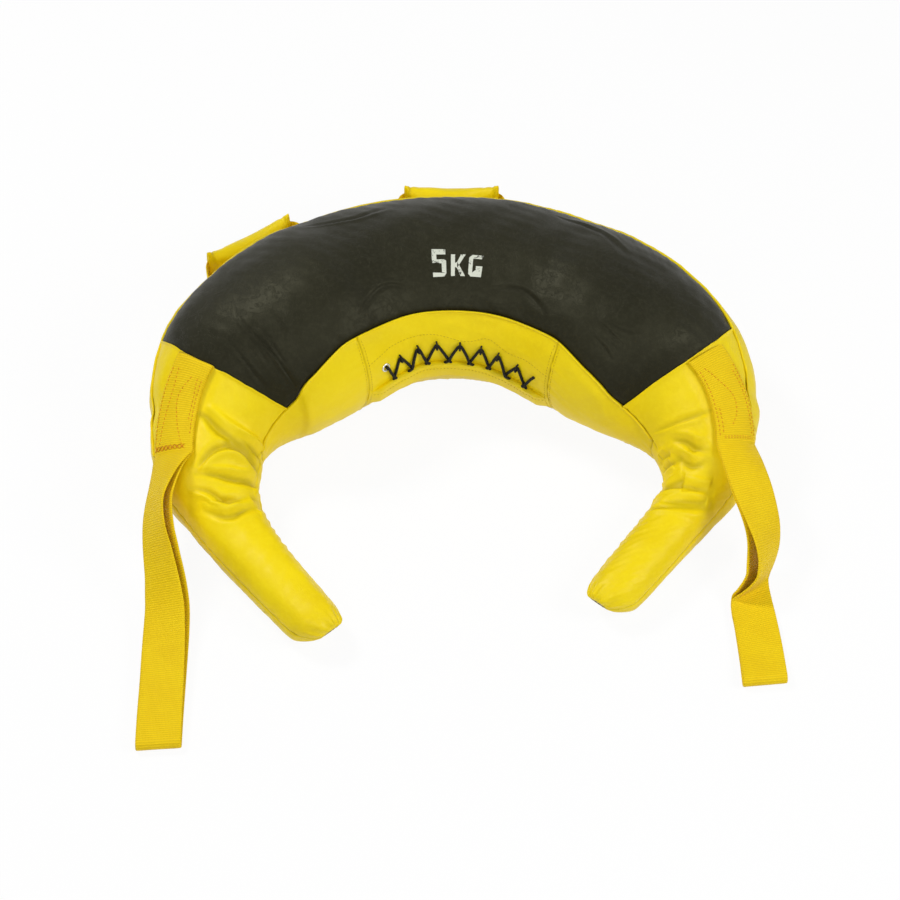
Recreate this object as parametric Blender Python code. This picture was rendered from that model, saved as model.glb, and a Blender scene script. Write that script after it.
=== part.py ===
"""Bulgarian training bag: a filled crescent tube with two horns, sling straps and hand grips.

Frame: +Z is up and the floor is Z = 0. The origin is on the floor under the middle of the arc.
The arc bulges towards +Y and the two horns point to -Y. Lengths are in metres.
"""
import math

import bmesh
import bpy
import numpy as np
from mathutils import Matrix, Vector

# The filled tube.
BODY_WIDTH = 0.179
BODY_HEIGHT = 0.161
RIGHT_LENGTH = 0.503
LEFT_LENGTH = 0.531
RIGHT_GRIP_WIDTH = 0.0504
LEFT_GRIP_WIDTH = 0.0544
TIP_ROUNDING = 0.024
TIP_DRAW_SHARE = 0.44
TIP_SHIFT_SHARE = 0.5
TIP_LEAN_SHARE = 0.5
FLOOR_SHARE = 0.95

# Skins, seams and running room.
SKIN = 0.0018
SEAM_GAP = 0.0008
CLEARANCE = 0.0004
FILL_GAP = 0.0030
FILL_FLOOR_GAP = 0.0025

# Seams of the black top panel and of the laced panel, along the tube from its middle.
TOP_END = 0.255
TOP_END_BOW = 0.017
TOP_END_SKEW = 0.007
TOP_END_FADE = 0.055
LACED_LEFT = 0.142
LACED_RIGHT = 0.152
LOWER_SEAM_ANGLE = 38
NECK_SHARE = 0.6

# The lace, its keepers and its end eyelet.
LACE_DIAMETER = 0.0024
LACE_BACK_ROOM = 0.0012
LACE_HOLE = 0.0048
KEEPER_CORD = 0.0018
KEEPER_HOLE = 0.0032
KEEPER_HALF_HEIGHT = 0.0042
STITCH = 0.0066
EYELET_BORE = 0.0050
EYELET_BARREL = 0.0062
EYELET_FLANGE = 0.0092
EYELET_RIM = 0.0009
LACE_TAIL = 0.0048
LACE_RECESS_BLEND = 0.014
LACE_RECESS_ANGLE = 182
LACE_RECESS_SPREAD = 26
LACE_RECESS_FADE = 14

# The sling straps.
STRAP_WIDTH = 0.040
STRAP_THICKNESS = 0.0020
RIGHT_STRAP_REACH = 0.214
LEFT_STRAP_REACH = 0.258
STRAP_FOLD_HEIGHT = 0.0115
STRAP_STACK_GAP = 0.0005
STRAP_SEAT = 0.0008
STRAP_BREAK = 0.0005
STRAP_SECTIONS = 16
STRAP_ROOT_SECTIONS = 5
STRAP_OPEN_SECTIONS = 11

# The hand grips on the outside of the arc.
PAD_LENGTH = 0.091
PAD_END_HEIGHT = 0.046
PAD_MIDDLE_HEIGHT = 0.029
PAD_END_THICKNESS = 0.0060
PAD_MIDDLE_THICKNESS = 0.019
PAD_SKIN = 0.0012
PAD_STAND_OFF = 0.021
PAD_FOAM_INSET = 0.003
BAND_WIDTH = 0.025
BAND_THICKNESS = 0.0015
BAND_DROP = 0.0075
BAND_BREAK = 0.0005
BAND_SEWN_LENGTH = 0.022
GRIP_PLACE = 0.140

# The filling.
HORN_FILL_START = 0.262
ARM_FILL_START = 0.112
FILL_JOINT = 0.001
WEIGHT_BAG_DIAMETER = 0.062
WEIGHT_BAG_END_SHARE = 0.86
END_CAP = 0.0026
END_CAP_INSET = 0.0012

# Facet sizes.
PLACE_STEP = 0.020
LEAST_STEP = 0.002
TURN_STEP = 9
PANEL_ANGLE_STEP = 13
FLOOR_ANGLE_STEP = 18
HORN_ANGLE_STEP = 22
CAP_SIDES = 18
FILL_SIDES = 16
PAD_SIDES = 12
TIP_STEPS = 4
HOLE_SIDES = 6
EYELET_SIDES = 12
STRAP_TAIL_ROWS = 10
STRAP_TAIL_COLUMNS = 6
FOLD_TURNS = (36, 72, 108, 144)
CREASE_ANGLE = 40
PATH_STEPS = 400

# Tables of shares of a side's length, with a direction, a width share or an angle round the tube.
# The angle is 0 at the outer side, 90 on top and 180 at the inner side.
RIGHT_TURN_SHARES = ((0, 0), (0.058, 7), (0.196, 27), (0.279, 34), (0.396, 36), (0.479, 50),
                     (0.559, 71), (0.635, 94), (0.687, 114), (0.736, 124), (0.843, 127), (1, 129))
LEFT_TURN_SHARES = ((0, 0), (0.058, 8), (0.188, 30), (0.265, 35), (0.376, 37), (0.453, 56),
                    (0.529, 76), (0.609, 97), (0.672, 114), (0.725, 121), (0.811, 128), (1, 131))
RIGHT_WIDTH_SHARES = ((0, 1), (0.196, 1), (0.279, 1.03), (0.357, 1.01), (0.421, 0.94),
                      (0.479, 0.82), (0.538, 0.61), (0.603, 0.38), (0.667, 0.21), (0.726, 0.06),
                      (0.804, 0.015), (0.892, 0), (1, -0.04))
LEFT_WIDTH_SHARES = ((0, 1), (0.193, 1.04), (0.265, 1.09), (0.338, 1.05), (0.396, 0.97),
                     (0.453, 0.84), (0.512, 0.62), (0.574, 0.42), (0.643, 0.31), (0.695, 0.15),
                     (0.773, 0.04), (0.85, 0), (1, -0.06))
INNER_SEAM_SHARES = ((0, 143), (0.28, 143), (0.375, 152), (0.45, 160), (0.51, 162), (0.6, 167),
                     (0.72, 172), (1, 172))
RIGHT_OUTER_SEAM_SHARES = ((0, 37), (0.293, 38), (0.499, 39), (0.603, 30), (0.726, 12), (1, 8))
LEFT_OUTER_SEAM_SHARES = ((0, 37), (0.27, 34), (0.463, 23), (0.58, 18), (0.695, 10), (1, 8))

# Lace holes: place along the laced panel from its left to its right seam, and the slit's angle.
LACE_PLACE_SHARES = (0.08, 0.155, 0.28, 0.405, 0.525, 0.64, 0.75, 0.86, 0.945)
SLIT_SHARES = ((0, 184), (0.12, 181), (0.38, 177.5), (0.58, 179), (0.75, 182), (0.88, 186),
               (1, 189))
UPPER_HOLE_RISE = 11
LOWER_HOLE_DROP = 7.5
COVER_DROP = 2.8
TONGUE_SHARE = 1.8
COVER_FALL_SHARE = 0.25
CROSSING_SHARE = 0.58
CROSSING_SPREAD_SHARE = 0.21
LACE_TURN_SHARES = (0.2, 0.8)

# Sling straps: sewn start and end as shares of the side's length with angles, and the route of
# the free loop as shares of the strap's reach and of its height, with the webbing's roll.
STRAP_LEAN_SHARE = 0.3
STRAP_END_SHARE = 0.8
STRAP_START_SHARES = (-0.10, -0.21)
RIGHT_SEWN_SHARES = ((0.544, 82), (0.64, 52))
LEFT_SEWN_SHARES = ((0.518, 75), (0.622, 52))
RIGHT_ROUTE_SHARES = ((0.0, 0.0, 1.0, 0), (0.03, -0.1, 0.8, 20), (0.07, -0.25, 0.45, 38),
                      (0.115, -0.38, 0.18, 40), (0.12, -0.5, 0.1, 16), (0.065, -0.62, 0.0, 3),
                      (0.06, -0.76, 0.0, 0), (0.075, -0.88, 0.0, 0), (0.095, -1.0, 0.0, 0))
LEFT_ROUTE_SHARES = ((0.0, 0.0, 1.0, 0), (-0.03, -0.1, 0.8, 20), (-0.065, -0.24, 0.45, 38),
                     (-0.06, -0.36, 0.18, 40), (-0.046, -0.48, 0.1, 16), (-0.032, -0.62, 0.0, 3),
                     (-0.022, -0.77, 0.0, 0), (-0.01, -0.89, 0.0, 0), (0.0, -1.0, 0.0, 0))

# Rings of an end cap as shares of its thickness.
CAP_RING_SHARES = (1, 0.5, 0)

# Powers that shape a pad: its bulge along it, its waist, its fullness and its section.
PAD_BULGE_POWER = 2.2
PAD_WAIST_POWER = 0.6
PAD_FULLNESS_POWER = 0.7
PAD_FLATNESS_POWER = 0.8

# Rings of a pad as shares of its half length, from its end to its middle.
PAD_RING_SHARES = (1, 0.9, 0.62, 0.22)

# The foam's slot is a circle stretched by this share and cut square.
SLOT_CORNER_SHARE = 1.8

# A grip's band beyond the foam: shares of its run to the break, and of its drop.
BAND_BEND_SHARES = ((0, 0), (0.4, 0.12), (0.75, 0.6), (1, 1.45))

# The sewn end of a grip's band: places on the skin, and the run and rise up to the break.
ANCHOR_SEWN_SHARES = (1, 0.66, 0.33, 0)
ANCHOR_RISE_SHARES = ((0.5, 0.35), (1, 1))

# Hand grips: place along the arc as a sign, and the angle round the tube.
GRIPS = (("left", -1, -2), ("centre", 0, 1.5), ("right", 1, -20))

BLACK_LEATHER = ("black_leather", (0.018, 0.017, 0.015, 1), 0.42, 0)
YELLOW_LEATHER = ("yellow_leather", (0.86, 0.66, 0.02, 1), 0.45, 0)
YELLOW_WEBBING = ("yellow_webbing", (0.9, 0.55, 0.02, 1), 0.75, 0)
LACE_CORD = ("lace_cord", (0.015, 0.015, 0.015, 1), 0.7, 0)
EYELET_METAL = ("eyelet_metal", (0.75, 0.75, 0.74, 1), 0.3, 1)
CAP_LEATHER = ("cap_leather", (0.05, 0.05, 0.055, 1), 0.5, 0)
WADDING = ("wadding", (0.62, 0.6, 0.55, 1), 0.9, 0)
SAND_CLOTH = ("sand_cloth", (0.3, 0.29, 0.26, 1), 0.85, 0)
FOAM = ("foam", (0.3, 0.3, 0.32, 1), 0.9, 0)


def clear_scene():
    for item in list(bpy.data.objects):
        bpy.data.objects.remove(item, do_unlink=True)


def smooth(table, place, start_level=True):
    """The value at a place on a curve that passes through a table's rows without overshoot."""
    places = [row[0] for row in table]
    values = [row[1] for row in table]
    steps = np.diff(places)
    slopes = np.diff(values) / steps
    ends = [0.0] * len(table)
    ends[0] = 0.0 if start_level else slopes[0]
    ends[-1] = slopes[-1]
    for i in range(1, len(table) - 1):
        if slopes[i - 1] * slopes[i] > 0:
            ends[i] = 2 * slopes[i - 1] * slopes[i] / (slopes[i - 1] + slopes[i])
    i = min(max(int(np.searchsorted(places, place)) - 1, 0), len(steps) - 1)
    f = min(max((place - places[i]) / steps[i], 0), 1)
    start = values[i] * (1 + 2 * f) * (1 - f) ** 2 + ends[i] * steps[i] * f * (1 - f) ** 2
    end = values[i + 1] * f * f * (3 - 2 * f) + ends[i + 1] * steps[i] * f * f * (f - 1)
    return start + end


def ease(value):
    value = min(max(value, 0), 1)
    return value * value * (3 - 2 * value)


def mix(start, end, share):
    return start + (end - start) * share


class Side:
    """One half of the tube, from the middle of the arc to a horn's tip."""

    def __init__(self, sign, length, grip_width, turns, widths, outer_seam, sewn, reach, route):
        self.sign = sign
        self.length = length
        self.grip_width = grip_width
        self.widths = widths
        self.outer_seam = outer_seam
        self.sewn = sewn
        self.reach = reach
        self.route = route
        self.places = np.linspace(0, length, PATH_STEPS)
        turn = [math.radians(smooth(turns, p / length, False)) for p in self.places]
        self.turn = np.array(turn)
        middle = (self.turn[1:] + self.turn[:-1]) / 2
        step = length / (PATH_STEPS - 1)
        self.x = sign * np.concatenate(([0], np.cumsum(np.cos(middle) * step)))
        self.y = -np.concatenate(([0], np.cumsum(np.sin(middle) * step)))

    def at(self, place):
        x = np.interp(place, self.places, self.x)
        y = np.interp(place, self.places, self.y)
        return x, y, np.interp(place, self.places, self.turn)

    def half_width(self, place):
        grip = self.grip_width / 2
        return grip + (BODY_WIDTH / 2 - grip) * smooth(self.widths, place / self.length)

    def into_tip(self, place):
        """How far a place is into the gathered tip, 0 to 1."""
        return max(1 - (self.length - place) / TIP_ROUNDING, 0)

    def drawn(self, place):
        """The share of the width that the gathered skin of the tip takes away."""
        return TIP_DRAW_SHARE * self.into_tip(place) ** 2


RIGHT = Side(1, RIGHT_LENGTH, RIGHT_GRIP_WIDTH, RIGHT_TURN_SHARES, RIGHT_WIDTH_SHARES,
             RIGHT_OUTER_SEAM_SHARES, RIGHT_SEWN_SHARES, RIGHT_STRAP_REACH, RIGHT_ROUTE_SHARES)
LEFT = Side(-1, LEFT_LENGTH, LEFT_GRIP_WIDTH, LEFT_TURN_SHARES, LEFT_WIDTH_SHARES,
            LEFT_OUTER_SEAM_SHARES, LEFT_SEWN_SHARES, LEFT_STRAP_REACH, LEFT_ROUTE_SHARES)
SIDES = (("left", LEFT), ("right", RIGHT))
HEIGHT_RATIO = BODY_HEIGHT / (1 + FLOOR_SHARE) / (BODY_WIDTH / 2)


def side_at(place):
    return RIGHT if place >= 0 else LEFT


def section(place):
    """Half width, half height and height of the centre of the tube's section."""
    side = side_at(place)
    full = side.half_width(abs(place))
    half = full * (1 - side.drawn(abs(place)))
    return half, half * HEIGHT_RATIO, full * HEIGHT_RATIO * FLOOR_SHARE


def body_point(place, angle, out=0.0):
    """A point on the tube's skin, or that far outside it. The place is negative on the left.

    The tip's skin is gathered towards the inner side, and its top reaches further than its foot.
    """
    side = side_at(place)
    x, y, turn = side.at(abs(place))
    half, tall, centre = section(place)
    across = (half + out) * math.cos(math.radians(angle))
    across -= side.half_width(abs(place)) * side.drawn(abs(place)) * TIP_SHIFT_SHARE
    rise = (tall + out) * math.sin(math.radians(angle))
    lean = TIP_LEAN_SHARE * rise * side.into_tip(abs(place))
    x += side.sign * (math.sin(turn) * across + math.cos(turn) * lean)
    y += math.cos(turn) * across - math.sin(turn) * lean
    return Vector((x, y, max(-out, centre + rise)))


def body_frame(place, angle):
    """Directions at a point of the skin: along the tube, up the wall and outwards."""
    step = SEAM_GAP
    along = body_point(place + step, angle) - body_point(place - step, angle)
    turned = math.degrees(step / section(place)[0])
    round_tube = body_point(place, angle + turned) - body_point(place, angle - turned)
    up = round_tube if round_tube.z > 0 else -round_tube
    along.normalize()
    up.normalize()
    outwards = along.cross(up)
    centre = body_point(place, angle) - body_point(place, angle, -SKIN)
    if outwards.dot(centre) < 0:
        outwards.negate()
    return along, up, outwards


def along_scale(place, angle):
    """How far the wall's point moves for each metre along the tube's centreline."""
    step = SEAM_GAP
    return (body_point(place + step, angle) - body_point(place - step, angle)).length / (2 * step)


def degrees_for(distance, place):
    return math.degrees(distance / section(place)[0])


def inner_seam(place):
    return smooth(INNER_SEAM_SHARES, abs(place) / side_at(place).length)


def outer_seam(place):
    side = side_at(place)
    return smooth(side.outer_seam, abs(place) / side.length)


def top_end(side, across):
    """Where the black panel ends, from its inner edge (0) to its outer edge (1)."""
    return TOP_END + TOP_END_BOW * math.sin(math.pi * across) - TOP_END_SKEW * across


def neck(side):
    return side.sign * NECK_SHARE * side.length


def slit_angle(place):
    return smooth(SLIT_SHARES, (place + LACED_LEFT) / (LACED_LEFT + LACED_RIGHT))


def material(spec):
    name, colour, roughness, metallic = spec
    found = bpy.data.materials.get(name)
    if found:
        return found
    made = bpy.data.materials.new(name)
    made.use_nodes = True
    shader = made.node_tree.nodes["Principled BSDF"]
    shader.inputs["Base Color"].default_value = colour
    shader.inputs["Roughness"].default_value = roughness
    shader.inputs["Metallic"].default_value = metallic
    made.diffuse_color = colour
    return made


def add_object(name, mesh, spec, origin=None):
    if origin is not None:
        mesh.transform(Matrix.Translation(-origin))
    made = bpy.data.objects.new(name, mesh)
    made.data.materials.append(material(spec))
    if origin is not None:
        made.location = origin
    bpy.context.collection.objects.link(made)
    return made


def solid(name, points, faces, spec, origin=None):
    mesh = bpy.data.meshes.new(name)
    mesh.from_pydata([tuple(p) for p in points], [], faces)
    bm = bmesh.new()
    bm.from_mesh(mesh)
    bmesh.ops.recalc_face_normals(bm, faces=bm.faces)
    bm.to_mesh(mesh)
    bm.free()
    mesh.shade_smooth()
    mesh.set_sharp_from_angle(angle=math.radians(CREASE_ANGLE))
    return add_object(name, mesh, spec, origin)


def grid_faces(rows, columns, first=0):
    faces = []
    for r in range(rows - 1):
        for c in range(columns - 1):
            a = first + r * columns + c
            faces.append((a, a + 1, a + columns + 1, a + columns))
    return faces


def rim_faces(rows, columns):
    """Walls between two equal grids, round their border."""
    border = [(0, c) for c in range(columns)]
    border += [(r, columns - 1) for r in range(1, rows)]
    border += [(rows - 1, c) for c in range(columns - 2, -1, -1)]
    border += [(r, 0) for r in range(rows - 2, 0, -1)]
    ids = [r * columns + c for r, c in border]
    second = rows * columns
    pairs = zip(ids, ids[1:] + ids[:1])
    return [(a, b, b + second, a + second) for a, b in pairs]


def ribbon_faces(count, turned):
    """Triangles between the four-cornered rings of a ribbon that is folded back at a ring.

    The diagonals of its wide faces lie over each other, so that a twist doesn't thin it.
    """
    faces = []
    for i in range(count - 1):
        a, b, c, d, e, f, g, h = range(4 * i, 4 * i + 8)
        faces += [(b, c, g), (b, g, f), (d, a, e), (d, e, h)]
        if i < turned:
            faces += [(a, b, f), (a, f, e), (c, d, g), (d, h, g)]
        else:
            faces += [(a, b, e), (b, f, e), (c, d, h), (c, h, g)]
    return faces


def sheet(name, place, rows, columns, outer, inner, spec):
    """A curved sheet between two offsets. place(u, v, out) gives a point for shares u and v."""
    points = []
    for out in (outer, inner):
        for u in np.linspace(0, 1, rows):
            points += [place(u, v, out) for v in np.linspace(0, 1, columns)]
    faces = grid_faces(rows, columns) + grid_faces(rows, columns, rows * columns)
    return solid(name, points, faces + rim_faces(rows, columns), spec)


def loft(name, rings, spec, bore=None, origin=None):
    """A closed solid through equal rings of points, with a bore where inner rings are given."""
    sides = len(rings[0])
    points = [p for ring in rings for p in ring]
    faces = []
    layers = [0]
    if bore:
        layers.append(len(points))
        points += [p for ring in bore for p in ring]
    for first in layers:
        for r in range(len(rings) - 1):
            for c in range(sides):
                a = first + r * sides + c
                b = first + r * sides + (c + 1) % sides
                faces.append((a, b, b + sides, a + sides))
    last = (len(rings) - 1) * sides
    if not bore:
        faces += [tuple(range(sides)), tuple(range(last, last + sides))]
        return solid(name, points, faces, spec, origin)
    second = layers[1]
    for row in (0, last):
        for c in range(sides):
            d = (c + 1) % sides
            faces.append((row + c, row + d, second + row + d, second + row + c))
    return solid(name, points, faces, spec, origin)


def curve_tube(name, route, diameter, sides, closed, spec):
    """A round tube along a route of points."""
    curve = bpy.data.curves.new(name, "CURVE")
    curve.dimensions = "3D"
    curve.bevel_depth = diameter / 2
    curve.bevel_resolution = sides // 2 - 2
    curve.use_fill_caps = not closed
    spline = curve.splines.new("POLY")
    spline.points.add(len(route) - 1)
    for point, place in zip(spline.points, route):
        point.co = (*place, 1)
    spline.use_cyclic_u = closed
    spline.use_smooth = True
    made = bpy.data.objects.new(name, curve)
    curve.materials.append(material(spec))
    bpy.context.collection.objects.link(made)
    return made


def cut_round_holes(target, holes, overrun):
    """Cuts round holes through a sheet. Each hole is a centre, a direction and a diameter."""
    bm = bmesh.new()
    for centre, direction, diameter in holes:
        turn = direction.to_track_quat("Z", "Y").to_matrix().to_4x4()
        radius = diameter / 2 / math.cos(math.pi / HOLE_SIDES)
        bmesh.ops.create_cone(bm, cap_ends=True, segments=HOLE_SIDES, radius1=radius,
                              radius2=radius, depth=2 * overrun,
                              matrix=Matrix.Translation(centre) @ turn)
    mesh = bpy.data.meshes.new(target.name + "_holes")
    bm.to_mesh(mesh)
    bm.free()
    cutter = bpy.data.objects.new(target.name + "_holes", mesh)
    cutter.hide_render = True
    cutter.display_type = "WIRE"
    bpy.context.collection.objects.link(cutter)
    cut = target.modifiers.new("holes", "BOOLEAN")
    cut.operation = "DIFFERENCE"
    cut.solver = "EXACT"
    cut.object = cutter


def side_stations(side):
    """Places along a side, closer together where the tube turns and where its tip is drawn in."""
    start = side.length - TIP_ROUNDING
    places = [0.0]
    while places[-1] < start - PLACE_STEP / 2:
        here = places[-1]
        turned = math.degrees(side.at(here + PLACE_STEP)[2] - side.at(here)[2])
        places.append(here + PLACE_STEP * min(1, TURN_STEP / max(turned, 1)))
    places[-1] = start
    return places + [start + TIP_ROUNDING * k / TIP_STEPS for k in range(1, TIP_STEPS)]


def all_stations():
    """Both sides' places from left to right, with the nearest ones moved to the end seams."""
    places = [-place for place in reversed(side_stations(LEFT))] + side_stations(RIGHT)[1:]
    for seam in (neck(LEFT), -LACED_LEFT, LACED_RIGHT, neck(RIGHT)):
        nearest = min(places, key=lambda place: abs(place - seam))
        places[places.index(nearest)] = seam
    return places


STATIONS = all_stations()


def stations(first, last):
    """Places from first to last. Pieces that lie side by side share those in between."""
    between = [p for p in STATIONS if first + LEAST_STEP < p < last - LEAST_STEP]
    return [first] + between + [last]


def side_run(side, start, end):
    """The stations between two places of one side, from left to right."""
    return stations(*sorted((side.sign * start, side.sign * end)))


def panel(name, places, start, end, low, high, spec, angle_step=PANEL_ANGLE_STEP, lift=None):
    """A skin panel over a row of places, between two long seams low(place) and high(place).

    start(v) and end(v) are its end seams. The rows next to them follow their bow, but on the
    long seams the rows stay at the common stations.
    """
    half_gap = SEAM_GAP / 2
    last = len(places) - 1

    def place(u, v, out):
        row = round(u * last)
        along = places[row]
        from_start = 1 - ease((along - places[0]) / TOP_END_FADE)
        from_end = 1 - ease((places[-1] - along) / TOP_END_FADE)
        along += (start(v) - mix(start(0), start(1), v)) * from_start
        along += (end(v) - mix(end(0), end(1), v)) * from_end
        along = start(v) + half_gap if row == 0 else along
        along = end(v) - half_gap if row == last else along
        trim = degrees_for(half_gap, along)
        angle = mix(low(along) + trim, high(along) - trim, v)
        raised = lift(along, angle) if lift else 0
        return body_point(along, angle, out + raised)

    middle = places[last // 2]
    columns = max(4, round(abs(high(middle) - low(middle)) / angle_step) + 1)
    return sheet(name, place, last + 1, columns, 0, -SKIN, spec)


def straight(place):
    return lambda v: place


def lower_seam(place):
    return -LOWER_SEAM_ANGLE


def lower_inner_seam(place):
    return 180 + LOWER_SEAM_ANGLE


def build_skins():
    top = stations(-top_end(LEFT, 1), top_end(RIGHT, 1))
    panel("top_panel", top, lambda v: -top_end(LEFT, 1 - v), lambda v: top_end(RIGHT, 1 - v),
          outer_seam, inner_seam, BLACK_LEATHER)
    left, right = neck(LEFT), neck(RIGHT)
    whole = stations(left, right)
    ends = straight(left), straight(right)
    panel("outer_panel", whole, *ends, lower_seam, outer_seam, YELLOW_LEATHER)
    panel("bottom_panel", whole, *ends, lambda p: lower_inner_seam(p) - 360, lower_seam,
          YELLOW_LEATHER, FLOOR_ANGLE_STEP)
    for name, first, last in (("inner_left_panel", left, -LACED_LEFT),
                              ("inner_right_panel", LACED_RIGHT, right)):
        panel(name, stations(first, last), straight(first), straight(last), inner_seam,
              lower_inner_seam, YELLOW_LEATHER)


def build_laced_panel():
    """The upper flap, the tongue below the slit, and the cover that folds over the lace."""
    places = stations(-LACED_LEFT, LACED_RIGHT)
    ends = straight(-LACED_LEFT), straight(LACED_RIGHT)
    flap = panel("inner_upper_flap", places, *ends, inner_seam, slit_angle, YELLOW_LEATHER)
    tongue = panel("lace_tongue", places, *ends, slit_angle, tongue_end, YELLOW_LEATHER)
    panel("inner_lower_flap", places, *ends, lambda p: slit_angle(p) + COVER_DROP,
          lower_inner_seam, YELLOW_LEATHER, PANEL_ANGLE_STEP / 2, cover_lift)
    cut_round_holes(flap, upper_holes(), SKIN)
    cut_round_holes(tongue, lower_holes(), SKIN)


def tongue_end(place):
    return slit_angle(place) + LOWER_HOLE_DROP * TONGUE_SHARE


def cover_lift(place, angle):
    """How far the cover stands off the tube, so that the lace passes under its edge."""
    room = SKIN + LACE_DIAMETER + 3 * CLEARANCE
    past_tongue = (angle - tongue_end(place)) / LOWER_HOLE_DROP
    return room * (1 - ease(past_tongue - COVER_FALL_SHARE))


def lace_place(index):
    return mix(-LACED_LEFT, LACED_RIGHT, LACE_PLACE_SHARES[index])


def upper_angle(index):
    return slit_angle(lace_place(index)) - UPPER_HOLE_RISE


def lower_angle(index):
    return slit_angle(lace_place(index)) + LOWER_HOLE_DROP


def wall_spot(place, angle, along, out, up=0.0):
    """A spot near the wall: moved along it and up it by real lengths, and outwards."""
    moved = place + along / along_scale(place, angle)
    return body_point(moved, angle - degrees_for(up, place), out)


def keeper_angle(index):
    """The keepers' middle: just above the lace's turning point."""
    place = lace_place(index)
    rise = KEEPER_HALF_HEIGHT - KEEPER_CORD - LACE_DIAMETER / 2 - 2 * CLEARANCE
    return upper_angle(index) - degrees_for(rise, place)


def hole_at(place, angle, diameter):
    outwards = body_frame(place, angle)[2]
    return body_point(place, angle, -SKIN / 2), outwards, diameter


def upper_holes():
    last = len(LACE_PLACE_SHARES) - 1
    holes = [hole_at(lace_place(0), upper_angle(0), EYELET_BARREL + 2 * CLEARANCE),
             hole_at(lace_place(last), upper_angle(last), LACE_HOLE)]
    for index in range(1, last):
        place = lace_place(index)
        leg = degrees_for(KEEPER_HALF_HEIGHT - KEEPER_CORD / 2, place)
        holes += [hole_at(place, keeper_angle(index) + sign * leg, KEEPER_HOLE)
                  for sign in (-1, 1)]
    return holes


def stitch_places(index):
    """The two holes of one lower stitch, left and right. The end stitches have one hole."""
    place = lace_place(index)
    half = STITCH / 2 / along_scale(place, lower_angle(index))
    return place - half, place + half


def lower_holes():
    last = len(LACE_PLACE_SHARES) - 1
    holes = [hole_at(stitch_places(0)[1], lower_angle(0), LACE_HOLE),
             hole_at(stitch_places(last)[0], lower_angle(last), LACE_HOLE)]
    for index in range(1, last):
        holes += [hole_at(place, lower_angle(index), LACE_HOLE)
                  for place in stitch_places(index)]
    return holes


ON_TOP = LACE_DIAMETER / 2 + CLEARANCE
BEHIND = -SKIN - LACE_BACK_ROOM - LACE_DIAMETER / 2


def through_hole(place, angle, sign, lift=0):
    """The lace's points into a hole from the front, moving right (sign 1) or left."""
    step = sign * LACE_DIAMETER / 2
    return [wall_spot(place, angle, -step, ON_TOP + lift), wall_spot(place, angle, step, BEHIND)]


def lace_leg(upper, lower, raised):
    """Points from an upper to a lower place on the wall, raised where the leg crosses over."""
    spread = CROSSING_SPREAD_SHARE
    steps = ((CROSSING_SHARE, 0),)
    if raised:
        steps = ((CROSSING_SHARE - spread, 0), (CROSSING_SHARE, 1), (CROSSING_SHARE + spread, 0))
    points = []
    for share, bump in steps:
        place = mix(upper[0], lower[0], share)
        angle = mix(upper[1], lower[1], share)
        points.append(body_point(place, angle, ON_TOP + bump * (LACE_DIAMETER + CLEARANCE)))
    return points


def turn_points(index, sign, is_upper):
    """The lace at one turning point, with the places where it arrives and leaves."""
    last = len(LACE_PLACE_SHARES) - 1
    place = lace_place(index)
    if is_upper:
        angle = upper_angle(index)
        if index in (0, last):
            lift = 2 * EYELET_RIM if index == 0 else 0
            ends = through_hole(place, angle, sign if index else -sign, lift)
            return (ends if index == last or sign < 0 else ends[::-1]), place, place
        step = sign * LACE_DIAMETER / 2
        return [wall_spot(place, angle, k * step, ON_TOP) for k in (-1, 1)], place, place
    angle = lower_angle(index)
    left, right = stitch_places(index)
    if index == 0:
        return through_hole(right, angle, sign), right, right
    if index == last:
        return through_hole(left, angle, -sign)[::-1], left, left
    enter, leave = (left, right) if sign > 0 else (right, left)
    stitch = through_hole(enter, angle, sign) + through_hole(leave, angle, -sign)[::-1]
    return stitch, enter, leave


def strand(first, sign, raised):
    """The lace across the slit from one end to the other, by turns at upper and lower points."""
    order = range(len(LACE_PLACE_SHARES))[::sign]
    points = []
    before = None
    for index in order:
        is_upper = (index % 2 == 0) == first
        turn, arrives, leaves = turn_points(index, sign, is_upper)
        angle = upper_angle(index) if is_upper else lower_angle(index)
        here = arrives, angle
        if before and is_upper:
            points += lace_leg(here, before, raised)[::-1]
        if before and not is_upper:
            points += lace_leg(before, here, raised)
        points += turn
        before = leaves, angle
    return points


def lace_route():
    """Right along the slit on one set of points, round the end, and back on the other set."""
    last = len(LACE_PLACE_SHARES) - 1
    start = wall_spot(lace_place(0), upper_angle(0), -LACE_TAIL, BEHIND)
    turn_place = lace_place(last) + LACE_TAIL
    turn = [body_point(turn_place, mix(upper_angle(last), lower_angle(last), share), BEHIND)
            for share in LACE_TURN_SHARES]
    end = wall_spot(stitch_places(0)[1], lower_angle(0), -LACE_TAIL, BEHIND)
    return [start] + strand(True, 1, True) + turn + strand(False, -1, False) + [end]


def build_lace():
    curve_tube("lace", lace_route(), LACE_DIAMETER, 8, False, LACE_CORD)
    for index in range(1, len(LACE_PLACE_SHARES) - 1):
        curve_tube(f"lace_keeper_{index}", keeper_ring(index), KEEPER_CORD, 6, True, LACE_CORD)
    build_eyelet()


def keeper_ring(index):
    """A small closed loop of cord, through the flap above and below the lace."""
    place = lace_place(index)
    angle = keeper_angle(index)
    up, outwards = body_frame(place, angle)[1:]
    centre = body_point(place, angle)
    leg = KEEPER_HALF_HEIGHT - KEEPER_CORD / 2
    top = LACE_DIAMETER + 3 * CLEARANCE + KEEPER_CORD / 2
    back = -SKIN - CLEARANCE - KEEPER_CORD / 2
    corner = KEEPER_CORD / 2
    outline = [(leg, back), (leg, top - corner), (leg - corner, top), (corner - leg, top),
               (-leg, top - corner), (-leg, back)]
    return [centre + up * rise + outwards * out for rise, out in outline]


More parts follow.
